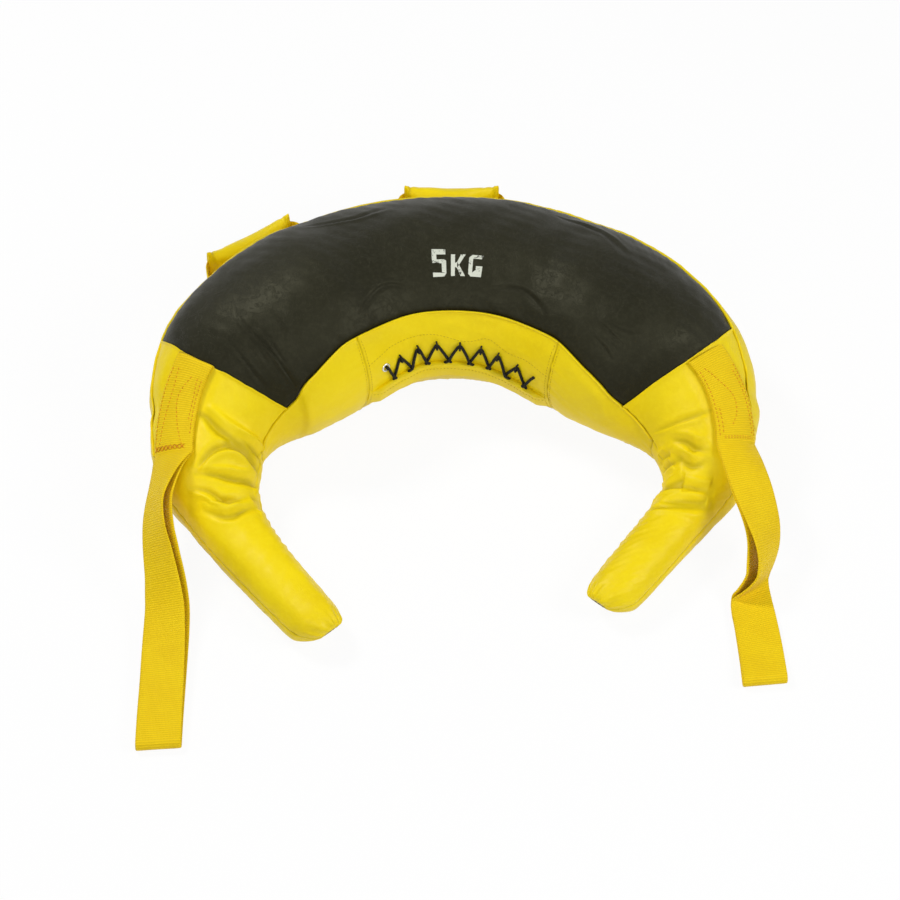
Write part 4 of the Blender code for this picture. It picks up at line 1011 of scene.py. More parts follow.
def tube_mesh(name, line, radius, sides, closed=False):
    """A round cord along a line of points, with UVs along and around it."""
    line = np.asarray(line, float)
    ahead = np.roll(line, -1, 0) - np.roll(line, 1, 0) if closed else np.gradient(line, axis=0)
    ahead = unit(ahead)
    side = np.cross(ahead[0], (0, 0, 1.0))
    if np.linalg.norm(side) < 0.1:
        side = np.cross(ahead[0], (1.0, 0, 0))
    spins = np.linspace(0, 2 * math.pi, sides, endpoint=False)[:, None]
    rings = []
    for point, direction in zip(line, ahead):
        side = unit(side - direction * (side @ direction))
        other = np.cross(direction, side)
        rings.append(point + radius * (np.cos(spins) * side + np.sin(spins) * other))
    if closed:
        rings.append(rings[0])
    run = np.resize(lengths_along(line), len(rings))
    uvs = np.stack(np.broadcast_arrays(run[:, None], np.linspace(0, 1, sides)[None, :]), -1)
    made = grid_mesh(name, [np.array(rings)], LACE, uvs, closed=True)
    mend(made, closed)
    return made


def lace_place(index):
    return mix(-LACED_LEFT, LACED_RIGHT, LACE_PLACES[index])


def upper_angle(index):
    return slit_angle(lace_place(index)) - UPPER_HOLE_RISE


def lower_angle(index):
    return slit_angle(lace_place(index)) + LOWER_HOLE_DROP


def wall_spot(place, angle, along, out, up=0.0):
    """A point moved from a spot of the skin, in metres along the tube, outwards and up."""
    moved = place + along / along_scale(place, angle)
    return body_point(moved, angle - degrees_for(up, place), out)


def keeper_angle(index):
    rise = KEEPER_HALF_HEIGHT - KEEPER_CORD - LACE_DIAMETER / 2 - 2 * CLEARANCE
    return upper_angle(index) - degrees_for(rise, lace_place(index))


def stitch_places(index):
    place = lace_place(index)
    half = STITCH / 2 / along_scale(place, lower_angle(index))
    return place - half, place + half


ON_TOP = LACE_DIAMETER / 2 + CLEARANCE
LACE_RADIUS = 0.00142
BEHIND = -SKIN - LACE_BACK_ROOM - LACE_DIAMETER / 2
LACE_LAST = len(LACE_PLACES) - 1


def through_hole(place, angle, sign, lift=0):
    """The lace's points on its way through a hole: one over the leather, one behind it."""
    step = sign * LACE_DIAMETER / 2
    return [wall_spot(place, angle, -step, ON_TOP + lift), wall_spot(place, angle, step, BEHIND)]


def lace_leg(upper, lower, raised):
    """The lace between two holes, lifted over the other strand where they cross if raised."""
    spread = CROSSING_SPREAD_SHARE if raised else 0
    points = []
    for turn in (-1, 0, 1) if raised else (0,):
        share = CROSSING_SHARE + turn * spread
        out = ON_TOP + (raised and not turn) * (LACE_DIAMETER + CLEARANCE)
        points.append(body_point(mix(upper[0], lower[0], share),
                                 mix(upper[1], lower[1], share), out))
    return points


def turn_points(index, sign, is_upper):
    """The lace at one turning point, with the places where it arrives and leaves."""
    place = lace_place(index)
    if is_upper:
        angle = upper_angle(index)
        if index in (0, LACE_LAST):
            lift = 2 * EYELET_RIM if index == 0 else 0
            ends = through_hole(place, angle, sign if index else -sign, lift)
            return (ends if index == LACE_LAST or sign < 0 else ends[::-1]), place, place
        step = sign * LACE_DIAMETER / 2
        return [wall_spot(place, angle, k * step, ON_TOP) for k in (-1, 1)], place, place
    angle = lower_angle(index)
    left, right = stitch_places(index)
    if index == 0:
        return through_hole(right, angle, sign), right, right
    if index == LACE_LAST:
        return through_hole(left, angle, -sign)[::-1], left, left
    enter, leave = (left, right) if sign > 0 else (right, left)
    stitch = through_hole(enter, angle, sign) + through_hole(leave, angle, -sign)[::-1]
    return stitch, enter, leave


def strand(first, sign, raised):
    """One of the two zigzags of the lace. first tells whether even turns are upper ones."""
    points = []
    before = None
    for index in range(len(LACE_PLACES))[::sign]:
        is_upper = (index % 2 == 0) == first
        turn, arrives, leaves = turn_points(index, sign, is_upper)
        angle = upper_angle(index) if is_upper else lower_angle(index)
        here = arrives, angle
        if before and is_upper:
            points += lace_leg(here, before, raised)[::-1]
        if before and not is_upper:
            points += lace_leg(before, here, raised)
        points += turn
        before = leaves, angle
    return points


def lace_route():
    """The whole lace: there on the upper strand, round behind the last hole and back."""
    start = wall_spot(lace_place(0), upper_angle(0), -LACE_TAIL, BEHIND)
    turn_place = lace_place(LACE_LAST) + LACE_TAIL
    turn = [body_point(turn_place, mix(upper_angle(LACE_LAST), lower_angle(LACE_LAST), share),
                       BEHIND) for share in (0.2, 0.8)]
    end = wall_spot(stitch_places(0)[1], lower_angle(0), -LACE_TAIL, BEHIND)
    return [start] + strand(True, 1, True) + turn + strand(False, -1, False) + [end]


def keeper_ring(index):
    """The corners of a cord keeper, which holds the lace at an upper turn."""
    place, angle = lace_place(index), keeper_angle(index)
    up, outwards = body_frame(place, angle)[1:]
    centre = body_point(place, angle)
    corner = KEEPER_CORD / 2
    leg = KEEPER_HALF_HEIGHT - corner
    top = LACE_DIAMETER + 3 * CLEARANCE + corner
    back = -SKIN - CLEARANCE - corner
    outline = [(leg, back), (leg, top - corner), (leg - corner, top), (corner - leg, top),
               (-leg, top - corner), (-leg, back)]
    return [centre + up * rise + outwards * out for rise, out in outline]


def rounded_loop(points):
    """A closed line with its corners cut round."""
    line = np.array([list(p) for p in points])
    for _ in range(3):
        after = np.roll(line, -1, 0)
        line = np.stack((mix(line, after, 0.25), mix(line, after, 0.75)), 1).reshape(-1, 3)
    return line


def build_lace():
    made = tube_mesh("laced_cord", curve_points(lace_route()), LACE_RADIUS, 14)
    finish_piece(made, "lace_cord", "bag", "lace")
    for index in range(1, LACE_LAST):
        made = tube_mesh(f"keeper_cord_{index}", rounded_loop(keeper_ring(index)),
                         KEEPER_CORD / 2, 10, True)
        finish_piece(made, "lace_cord", "bag", f"lace_keeper_{index}")
    build_eyelet()


def build_eyelet():
    """A rolled metal ring with a smooth flange."""
    place, angle = lace_place(0), upper_angle(0)
    centre = np.array(body_point(place, angle))
    turn = np.array(body_frame(place, angle)[2].to_track_quat("Z", "Y").to_matrix())
    low = -SKIN - CLEARANCE
    inner, outer, flange = EYELET_BORE / 2, EYELET_BARREL / 2, EYELET_FLANGE / 2
    roll = [(mix(flange, inner, (1 - math.cos(t)) / 2), CLEARANCE + EYELET_RIM * math.sin(t))
            for t in np.linspace(0, math.pi, 11)[1:]]
    profile = [(inner, low), (outer, low), (outer, CLEARANCE / 2), (flange, CLEARANCE / 2)] + roll
    spins = np.linspace(0, 2 * math.pi, 40, endpoint=False)
    rings = []
    for radius, height in profile + profile[:1]:
        ring = np.stack((radius * np.cos(spins), radius * np.sin(spins), 0 * spins + height), -1)
        rings.append(centre + ring @ turn.T)
    made = grid_mesh("eyelet_ring", [np.array(rings)], METAL, closed=True)
    mend(made, True)
    finish_piece(made, "eyelet_metal", "bag", "lace_eyelet")


def stitch_row(points, ups, stitch):
    """Short threads laid end to end along a line, each with its points, radius and up."""
    length, gap, radius = stitch
    run = lengths_along(points)
    threads = []
    for start in np.arange(gap / 2, run[-1] - length, length + gap):
        spots = np.linspace(start, start + length, THREAD_POINTS)
        threads.append((sampled(spots, run, points), radius, unit(sampled(spots[3], run, ups))))
    return threads


def stitches(name, threads, material, slot="yellow_webbing"):
    """One mesh of many short threads. Each one dips into the cloth at both ends."""
    sides, count = 6, THREAD_POINTS
    spins = np.linspace(0, 2 * math.pi, sides, endpoint=False)
    arch = np.sin(np.linspace(0, math.pi, count))
    points, faces, uvs = [], [], []
    for line, radius, up in threads:
        across = unit(np.cross(unit(np.gradient(line, axis=0)), up))
        base = len(points)
        for i, point in enumerate(line):
            middle = point + up * (radius * (1.2 * arch[i] - 0.5))
            thick = radius * (0.55 + 0.45 * arch[i])
            for spin in spins:
                points.append(middle + thick * (math.cos(spin) * across[i] + math.sin(spin) * up))
                uvs.append((i * 0.0005, spin / 6.3))
        for i in range(base, base + (count - 1) * sides, sides):
            for c in range(sides):
                d = (c + 1) % sides
                faces.append((i + c, i + d, i + sides + d, i + sides + c))
        faces.append(tuple(range(base, base + sides))[::-1])
        faces.append(tuple(range(base + (count - 1) * sides, base + count * sides)))
    finish_piece(mesh_object(name, points, faces, material, uvs), slot, "bag")


# Webbing.

def strap_way(side, share, across):
    """The place and angle of a spot on a strap's sewn end, at a share of its length."""
    start, end = side.sewn
    place = side.sign * side.length * mix(start[0], end[0], share)
    level = math.sqrt(1 - STRAP_LEAN_SHARE ** 2) * across
    middle = half_width(place) * (1 + HEIGHT_RATIO) / 2
    angle = mix(start[1], end[1], share) + math.degrees(level / middle)
    return place + side.sign * STRAP_LEAN_SHARE * across, angle


def strap_spot(side, share, across, out):
    return body_point(*strap_way(side, share, across), out)


def past_panel(side, share, across):
    """How far past the dark panel's end seam a spot on a strap's sewn end lies."""
    place, angle = strap_way(side, share, across)
    low, high = outer_seam(place), inner_seam(place)
    return abs(place) - panel_end(side, (angle - low) / (high - low))


def strap_root(side):
    """The stitched end: its middle and the ways across it, out of the skin and onwards."""
    middle = strap_spot(side, 1, 0, 0)
    across = strap_spot(side, 1, STRAP_WIDTH / 2, 0) - strap_spot(side, 1, -STRAP_WIDTH / 2, 0)
    across.normalize()
    onwards = (middle - strap_spot(side, STRAP_END_SHARE, 0, 0)).normalized()
    outwards = across.cross(onwards) * -side.sign
    outwards.normalize()
    if outwards.z < 0:
        outwards.negate()
    return middle, across, outwards, onwards


def loop_rows(side):
    """Middles, across and up directions and gaps of a strap's loose top layer."""
    rows = np.array(side.loop) / 1000
    rows[1:-1] = (rows[:-2] + 4 * rows[1:-1] + rows[2:]) / 6
    rows = refine(rows, 6)
    centre = (rows[:, :3] + rows[:, 3:6]) / 2
    across = unit(rows[:, 3:6] - rows[:, :3])
    up = unit(np.cross(across, np.gradient(centre, axis=0)))
    up *= np.sign(up[-1, 2])
    apart = rows[:, 6:]
    lowest = centre[:, 2] - up[:, 2] * (apart[:, 0] + STRAP_THICKNESS / 2)
    lowest -= np.abs(across[:, 2]) * STRAP_WIDTH / 2
    centre[:, 2] -= np.minimum(lowest, 0)
    return centre, across, up, apart


def strap_hinge(side):
    """The stitch line that a strap turns about, and its direction."""
    middle, across, outwards = strap_root(side)[:3]
    stack = STRAP_SEAT + STRAP_THICKNESS + STRAP_STACK_GAP / 2
    return middle + outwards * stack, across


STRAP_ACROSS = np.array((-1, -0.97, -0.88, -0.7, -0.5, -0.25, 0, 0.25, 0.5, 0.7, 0.88, 0.97, 1))


# The sewn end's slanting start, at both edges, as shares of its length.
SEWN_START = (-0.14, -0.25)

# The stitch lines of the sewn ends, as runs of (share of its length, across from -1 to 1).
STITCH_LINES = {
    "left": (((0.02, -0.86), (0.5, -0.87), (0.97, -0.86)), ((0.02, 0.84), (0.5, 0.85), (0.78, 0.86)),
             ((0.02, 0.6), (0.3, 0.72), (0.6, 0.7)),
             ((0.0, -0.55), (0.25, -0.42), (0.6, -0.5), (0.95, -0.62)),
             ((0.03, 0.3), (0.3, -0.05), (0.55, 0.12), (0.95, 0.55))),
    "right": (((0.02, -0.86), (0.5, -0.87), (0.95, -0.86)), ((0.02, 0.86), (0.5, 0.87), (0.95, 0.86)),
              ((0.1, 0.66), (0.4, 0.72), (0.92, 0.72)), ((0.55, -0.7), (0.92, -0.7)),
              ((0.0, -0.6), (0.2, -0.28), (0.42, 0.12), (0.62, 0.08), (0.8, -0.25)))}


def sewn_rows(side, level, count, later=0.0):
    """Rows of points of a sewn layer of webbing, from under the dark panel to the stitch line."""
    rows = []
    for u in np.linspace(0, 1, count):
        row = []
        for a in STRAP_ACROSS:
            share = mix(mix(*SEWN_START, (a + 1) / 2) + later, 1, u)
            past = past_panel(side, share, a * STRAP_WIDTH / 2) + SEAM_ALLOWANCE - later * 0.02
            offset = a * STRAP_WIDTH / 2 * mix(STRAP_TOP_SHARE, 1, ease(share))
            row.append(strap_spot(side, share, offset,
                                  mix(-UNDER_PANEL, level, ease(past / SEAM_RISE))))
        rows.append(row)
    return np.array(rows, float)


def strap_grid(side, seed):
    """The middle surface of one strap: sewn top layer, loop and sewn lower layer."""
    centre, across, up, apart = loop_rows(side)
    fold = (STRAP_FOLD_HEIGHT - STRAP_THICKNESS) / 2
    ahead = unit(centre[-1] - centre[-2])
    turns = np.radians(np.arange(15, 180, 15))[:, None]
    arms = up[-1] * np.cos(turns) + ahead * np.sin(turns)
    round_end = centre[-1] - up[-1] * fold + arms * fold
    middles = np.concatenate((centre, round_end, (centre - up * apart)[::-1]))
    widths = np.concatenate((across, np.repeat(across[-1:], len(arms), 0), across[::-1]))
    ups = np.concatenate((up, arms, -up[::-1]))
    loop = middles[:, None, :] + widths[:, None, :] * (STRAP_ACROSS * STRAP_WIDTH / 2)[:, None]
    top = sewn_rows(side, STRAP_SEAT + 1.5 * STRAP_THICKNESS + STRAP_STACK_GAP, 54)
    low = sewn_rows(side, STRAP_SEAT + STRAP_THICKNESS / 2, 40, 0.2)
    if ((top[-1, -1] - top[-1, 0]) * (loop[0, -1] - loop[0, 0])).sum() < 0:
        top, low = top[:, ::-1], low[:, ::-1]
    fade = np.exp(-(np.arange(len(centre)) / 12) ** 2)[:, None, None]
    loop[:len(centre)] += (top[-1] - loop[0]) * fade
    loop[-len(centre):] += (low[-1] - loop[-1]) * fade[::-1]
    top, low = top[:-1], low[:-1]
    grid = np.concatenate((top, loop, low[::-1]))
    free = np.zeros(len(grid))
    free[len(top):-len(low)] = np.sin(np.linspace(0, math.pi, len(loop))) ** 0.5
    facing = np.concatenate((np.repeat(up[:1], len(top), 0), ups,
                             np.repeat(-up[:1], len(low), 0)))
    curl = STRAP_CURL * waves(grid, 0.05, seed) * STRAP_ACROSS ** 2
    grid += facing[:, None, :] * (curl * free[:, None])[..., None]
    return grid, len(top)


def surface_normals(grid):
    return unit(np.cross(np.gradient(grid, axis=0), np.gradient(grid, axis=1)))


def ribbon(name, grid, thickness):
    """Webbing with rounded edges about a middle surface, with UVs in metres."""
    normals = surface_normals(grid)
    width = lengths_along(grid, 1)
    shares = 2 * width / width[:, -1:] - 1
    edge = np.clip((np.abs(shares) - 0.93) / 0.07, 0, 1)
    lift = normals * (thickness / 2 * np.sqrt(np.clip(1 - edge ** 2, 0.04, 1)))[..., None]
    ring = np.concatenate((grid + lift, (grid - lift)[:, ::-1]), 1)
    ring[..., 2] = np.maximum(ring[..., 2], 0.0001)
    run = lengths_along(grid[:, grid.shape[1] // 2])[:, None]
    across = np.concatenate((width, width[:, ::-1]), 1)
    uvs = np.stack((np.broadcast_to(run, across.shape), across), -1)
    made = grid_mesh(name, [ring], WEBBING, uvs, closed=True)
    mend(made)
    return made, normals


def on_grid(grid, normals, rows, columns, out):
    """Points over a grid at fractional rows and columns, with their normals."""
    r = np.clip(np.floor(rows).astype(int), 0, grid.shape[0] - 2)
    c = np.clip(np.floor(columns).astype(int), 0, grid.shape[1] - 2)
    down, over = (rows - r)[:, None], (columns - c)[:, None]

    def at(values):
        near = values[r, c] * (1 - over) + values[r, c + 1] * over
        far = values[r + 1, c] * (1 - over) + values[r + 1, c + 1] * over
        return near * (1 - down) + far * down

    up = unit(at(normals))
    return at(grid) + up * out, up


def build_straps():
    for name, side in SIDES:
        grid, sewn = strap_grid(side, 51 + side.sign)
        made, normals = ribbon(name + "_sling_webbing", grid, STRAP_THICKNESS)
        finish_piece(made, "yellow_webbing", None, name + "_strap_tail", name + "_strap_loop")
        hinge, axis = strap_hinge(side)
        outwards, onwards = strap_root(side)[2:]
        onwards = (onwards - axis * onwards.dot(axis)).normalized()
        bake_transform(made)
        up = normals if normals[sewn // 2, 6] @ np.array(outwards) > 0 else -normals
        threads = []
        for line in STITCH_LINES[name]:
            share, across = refine(line, 12).T
            threads += stitch_row(*over_sewn(grid, up, sewn, share, across), STRAP_STITCH)
        stitches(name + "_sling_stitches", threads + bar_tack(side, grid, up, sewn), THREAD)


def over_sewn(grid, up, sewn, share, across, out=STRAP_THICKNESS / 2):
    """Points on a sewn end, at shares of its length and places across it, with normals."""
    start = mix(*SEWN_START, (across + 1) / 2)
    columns = np.interp(across, STRAP_ACROSS, np.arange(len(STRAP_ACROSS)))
    return on_grid(grid, up, (share - start) / (1 - start) * (sewn - 1), columns, out)


def bar_tack(side, grid, up, sewn):
    """The stitched line across the end of the sewn part: a zigzag or a double row."""
    threads = []
    for way in (-1, 1):
        if side is LEFT:
            across = np.linspace(-0.88, 0.66, 8)
            share = BAR_SHARE + ZIGZAG * way * (-1) ** np.arange(8)
            points, ups = over_sewn(grid, up, sewn, share, across,
                                    STRAP_THICKNESS / 2 + BAR_THREAD)
            threads += [(np.linspace(*points[i:i + 2], THREAD_POINTS), BAR_THREAD, ups[i])
                        for i in range(7)]
        else:
            row = over_sewn(grid, up, sewn, BAR_SHARE + 0.012 * way, np.linspace(-0.7, 0.86, 30))
            threads += stitch_row(*row, TACK_STITCH)
    return threads


# Hand grips.

def grip_feet(sign, angle):
    """The spots on the skin below both ends of a grip's free band."""
    reach = PAD_LENGTH / 2 + BAND_DROP + BAND_BREAK
    return [wall_spot(sign * GRIP_PLACE, angle, turn * reach, 0) for turn in (-1, 1)]


def grip_frame(sign, angle):
    """A hand grip's own axes: origin on the skin, x along its feet, y outwards, z up."""
    feet = grip_feet(sign, angle)
    along = (feet[1] - feet[0]).normalized()
    outwards = body_frame(sign * GRIP_PLACE, angle)[2]
    outwards = (outwards - along * along.dot(outwards)).normalized()
    turned = Matrix((along, outwards, along.cross(outwards))).transposed().to_4x4()
    turned.translation = body_point(sign * GRIP_PLACE, angle)
    return turned


def placed(turned, points):
    """Local points, turned and moved to their place."""
    matrix = np.array(turned)
    return points @ matrix[:3, :3].T + matrix[:3, 3]


def pad_profile(share):
    """Half the height and half the thickness of a pad at a share of its half length."""
    bulge = 1 - np.abs(share) ** 2.2
    tall = mix(PAD_END_HEIGHT + 0.003, PAD_MIDDLE_HEIGHT + 0.002, bulge ** 0.6) / 2
    thick = mix(PAD_SEAM_THICKNESS, PAD_MIDDLE_THICKNESS, bulge ** 0.55) / 2
    return tall, thick


def mesh_numbers(vertices, name="co"):
    found = np.zeros(len(vertices) * 3)
    vertices.foreach_get(name, found)
    return found.reshape(-1, 3)


def swell(made, held):
    """Lets a closed sleeve swell as cloth under pressure, with its sewn ends held.

    The cloth is worked out at a larger size, where its steps are steady, and no point moves
    further than the cap.
    """
    mesh = made.data
    start = mesh_numbers(mesh.vertices)
    mesh.vertices.foreach_set("co", (start * SWELL_SCALE).ravel())
    group = made.vertex_groups.new(name="held")
    group.add([int(index) for index in np.flatnonzero(held)], 1.0, "REPLACE")
    cloth = made.modifiers.new("Cloth", "CLOTH")
    cloth.settings.mass = 0.3
    cloth.settings.bending_stiffness = 0.4
    cloth.settings.use_pressure = True
    cloth.settings.uniform_pressure_force = SWELL_PRESSURE
    cloth.settings.shrink_min = -SWELL_SLACK
    cloth.settings.vertex_group_mass = "held"
    cloth.settings.effector_weights.gravity = 0
    for moment in range(1, SWELL_FRAMES + 1):
        bpy.context.scene.frame_set(moment)
    swollen = made.evaluated_get(bpy.context.evaluated_depsgraph_get()).to_mesh()
    move = mesh_numbers(swollen.vertices) / SWELL_SCALE - start
    size = np.linalg.norm(move, axis=1)[:, None]
    move *= SWELL_CAP * np.tanh(size / SWELL_CAP) / np.maximum(size, 1e-9)
    made.modifiers.remove(cloth)
    made.vertex_groups.remove(group)
    bpy.context.scene.frame_set(1)
    mesh.vertices.foreach_set("co", (start + move).ravel())
    mesh.update()


def build_pad(name, turned, seed):
    """A stuffed sleeve, drawn to a flat seam at both ends, where its corners stand out."""
    share, spin = np.meshgrid(np.linspace(-1, 1, 57),
                              np.linspace(0, 2 * math.pi, 60, endpoint=False), indexing="ij")
    tall, thick = pad_profile(share)
    wave = np.sin(spin)
    flat = np.stack(((PAD_LENGTH / 2 + 0.001) * share, thick * np.cos(spin),
                     tall * np.sign(wave) * np.abs(wave) ** 0.8), -1)
    flat += 0.0002 * waves(flat, 0.016, seed)[..., None]
    from_end = PAD_LENGTH / 2 * (1 - np.abs(share))
    # Painted shade in the groove near each end seam of the pad.
    painted_shade = 0.22 * ridge_at(from_end, PAD_GROOVE_PLACE)
    uvs = np.stack((PAD_LENGTH / 2 * share, lengths_along(flat, 1)), -1)
    made = grid_mesh(name + "_grip_pad", [flat], YELLOW, uvs, painted_shade, closed=True)
    mend(made)
    swell(made, from_end.ravel() < PAD_HELD)
    points = mesh_numbers(made.data.vertices)
    normals = mesh_numbers(made.data.vertices, "normal")
    from_end = PAD_LENGTH / 2 - np.abs(points[:, 0])
    height = 0.0006 * ridge_at(from_end, PAD_PIPE_PLACE)
    height -= 0.0005 * ridge_at(from_end, PAD_GROOVE_PLACE)
    height += 0.00035 * waves(points, 0.012, seed + 1) * ease(from_end / 0.008)
    points = points + normals * height[:, None] + (0, PAD_STAND_OFF, 0)
    made.data.vertices.foreach_set("co", placed(turned, points).ravel())
    finer = made.modifiers.new("Finer", "SUBSURF")
    finer.levels = finer.render_levels = 1
    finish_piece(made, "yellow_leather", name + "_grip", name + "_grip_sleeve")


def band_rows(sign, angle, turned):
    """The band's middle line and skin-side rows, end to end, in the grip's own axes."""
    start, end = PAD_LENGTH / 2 - PAD_FOAM_INSET, PAD_LENGTH / 2 + BAND_DROP
    half = [(mix(start, end, share), PAD_STAND_OFF - BAND_DROP * drop) for share, drop in BAND_BENDS]
    free = [(-x, y) for x, y in reversed(half)] + half
    to_local = turned.inverted()
    gap = end + BAND_BREAK
    foot = gap + BAND_DROP
    sewn = []
    for turn in (-1, 1):
        line = []
        for share in ANCHOR_SEWN:
            x = turn * (foot + BAND_SEWN_LENGTH * share)
            spot = to_local @ wall_spot(sign * GRIP_PLACE, angle, x, ON_SKIN)
            line.append((spot.x, spot.y))
        line += [(turn * mix(foot, gap, share), mix(line[-1][1], half[-1][1], rise))
                 for share, rise in ANCHOR_RISES]
        sewn.append(line)
    return sewn[0] + free + sewn[1][::-1]


def build_band(name, sign, angle, turned):
    """The webbing through a grip's pad, sewn to the bag at both ends, and its stitches."""
    line = curve_points([(x, y, 0) for x, y in band_rows(sign, angle, turned)], 700)
    offsets = np.linspace(-1, 1, 11)
    grid = line[:, None, :] + np.array((0, 0, BAND_WIDTH / 2)) * offsets[None, :, None]
    grid = placed(turned, grid)
    hold = ease((np.abs(line[:, 0]) - BAND_FOOT + 0.006) / 0.008)
    for r in np.flatnonzero(hold > 0):
        for c, offset in enumerate(offsets):
            spot = skin_near(sign, angle, line[r, 0], offset * BAND_WIDTH / 2, turned)
            grid[r, c] = mix(grid[r, c], spot, hold[r])
    made, normals = ribbon(name + "_grip_webbing", grid, BAND_THICKNESS)
    finish_piece(made, "yellow_webbing", None, name + "_grip_band", name + "_anchor_a",
                 name + "_anchor_b")
    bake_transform(made)
    outwards = np.array(body_frame(sign * GRIP_PLACE, angle)[2])
    threads = []
    for r, inward in ((0, 1), (len(grid) - 1, -1)):
        rows, columns = sampled(np.linspace(0, 7, 57), range(8), BOX_STITCH).T
        up = normals if normals[r, 5] @ outwards > 0 else -normals
        row = on_grid(grid, up, r + inward * rows, columns, BAND_THICKNESS / 2)
        threads += stitch_row(*row, BAND_STITCH)
    stitches(name + "_grip_stitches", threads, THREAD)


def skin_near(sign, angle, x, z, turned):
    """A spot on the skin below a point of the band, in the grip's x and z."""
    place = sign * GRIP_PLACE
    up = wall_spot(place, angle, x, 0, 0.01) - wall_spot(place, angle, x, 0, 0)
    turn = 1 if up.dot(turned.col[2].to_3d()) > 0 else -1
    return np.array(wall_spot(place, angle, x, ON_SKIN, turn * z))


def build_grips():
    for name, sign, angle in GRIPS:
        turned = grip_frame(sign, angle)
        build_pad(name, turned, 61 + sign)
        build_band(name, sign, angle, turned)


def find_presses():
    """Where webbing is sewn on the skin, as points of its footprint and the leather's level."""
    found = []
    for _, side in SIDES:
        spots = [strap_spot(side, share, a * STRAP_WIDTH / 2, 0)
                 for share in np.linspace(-0.2, 1.03, 20) for a in (-0.9, -0.45, 0, 0.45, 0.9)
                 if past_panel(side, share, a * STRAP_WIDTH / 2) > -0.002]
        found.append((np.array(spots, float), STRAP_PRESSES_TO))
    for _, sign, angle in GRIPS:
        turned = grip_frame(sign, angle)
        spots = [skin_near(sign, angle, turn * (BAND_FOOT + step), z, turned)
                 for turn in (-1, 1) for step in np.linspace(0, BAND_SEWN_LENGTH, 5)
                 for z in (-0.01, -0.004, 0.004, 0.01)]
        found.append((np.array(spots), BAND_PRESSES_TO))
    return found


PRESSES = find_presses()


# Print and seam threads.

def skin_tree():
    """A search tree over the leather panels as built."""
    points, faces = [], []
    for made in SKINS:
        base = len(points)
        points += [v.co.copy() for v in made.data.vertices]
        faces += [tuple(base + i for i in p.vertices) for p in made.data.polygons]
    return BVHTree.FromPolygons(points, faces)


def dropped(tree, place, angle):
    """Points and normals where lines from outside meet the leather, for runs on the tube."""
    points, ups = [], []
    for p, a in zip(place, angle):
        outside = body_point(p, a, DROP_HEIGHT)
        inward = (body_point(p, a, 0) - outside).normalized()
        hit, normal = tree.ray_cast(outside, inward, DROP_LENGTH)[:2]
        if hit is None:
            hit, normal = body_point(p, a, 0), -inward
        points.append(hit)
        ups.append(-normal if normal.dot(inward) > 0 else normal)
    return np.array(points, float), np.array(ups, float)


def seam_thread(tree, route, step=0.003):
    """A stitched row over the leather along a run of (place, angle) points."""
    route = refine(route, 10)
    run = lengths_along(tube(*route.T))
    even = np.linspace(0, run[-1], max(int(run[-1] / step), 3))
    points, ups = dropped(tree, *sampled(even, run, route).T)
    return stitch_row(points, ups, SEAM_STITCH)


# From how high and how far down a thread or the print is dropped onto the leather.
DROP_HEIGHT, DROP_LENGTH = 0.012, 0.03
SEAM_MARGIN = 0.003
UPPER_STITCHES = ((-0.1405, 164), (-0.12, 160.5), (-0.098, 158), (-0.034, 158), (0.02, 164),
                  (0.056, 160), (0.092, 166), (0.122, 166), (0.1505, 170))


def build_seams(tree):
    threads = seam_thread(tree, UPPER_STITCHES)
    low = float(lower_inner_seam(0))
    for end in (-LACED_LEFT, LACED_RIGHT):
        for edge in (end - SEAM_MARGIN, end + SEAM_MARGIN):
            high = float(inner_seam(edge))
            threads += seam_thread(tree, [(edge, a) for a in np.linspace(high + 3, low - 3, 7)])
    flap = np.linspace(-LACED_LEFT + 0.004, LACED_RIGHT - 0.004, 24)
    threads += seam_thread(tree, [(p, float(slit_angle(p)) + COVER_DROP + 3.2) for p in flap])
    stitches("panel_stitches", threads, YELLOW_THREAD, "yellow_leather")


# The figures of the weight print, as four-cornered strokes in shares of the print's size.
DIGIT_FIVE = (
    ((0.02, 0.80), (0.27, 0.80), (0.27, 1.0), (0.03, 1.0)),
    ((0.02, 0.50), (0.105, 0.50), (0.105, 0.80), (0.02, 0.80)),
    ((0.105, 0.50), (0.24, 0.46), (0.24, 0.62), (0.105, 0.62)),
    ((0.24, 0.46), (0.28, 0.52), (0.28, 0.57), (0.24, 0.62)),
    ((0.195, 0.16), (0.28, 0.12), (0.28, 0.52), (0.195, 0.48)),
    ((0.015, 0.0), (0.235, 0.0), (0.28, 0.12), (0.015, 0.16)),
)
LETTER_K = (
    ((0.37, 0.02), (0.445, 0.02), (0.445, 0.80), (0.37, 0.80)),
    ((0.445, 0.34), (0.485, 0.30), (0.485, 0.52), (0.445, 0.48)),
    ((0.485, 0.30), (0.555, 0.02), (0.645, 0.02), (0.52, 0.41)),
    ((0.52, 0.41), (0.635, 0.80), (0.55, 0.80), (0.485, 0.52)),
)
LETTER_G = (
    ((0.70, 0.12), (0.775, 0.16), (0.775, 0.66), (0.70, 0.70)),
    ((0.70, 0.70), (0.775, 0.66), (0.93, 0.66), (0.96, 0.80)),
    ((0.76, 0.80), (0.70, 0.70), (0.96, 0.80), (0.96, 0.80)),
    ((0.70, 0.12), (0.75, 0.02), (0.96, 0.02), (0.775, 0.16)),
    ((0.775, 0.16), (0.96, 0.02), (0.965, 0.40), (0.89, 0.34)),
    ((0.84, 0.28), (0.89, 0.28), (0.965, 0.40), (0.84, 0.40)),
)
PRINT_LEFT, PRINT_RIGHT = -0.0225, 0.0365
PRINT_BOTTOM, PRINT_TOP = 122.0, 104.5
PRINT_STEPS = 9
PRINT_LIFT = 0.00012


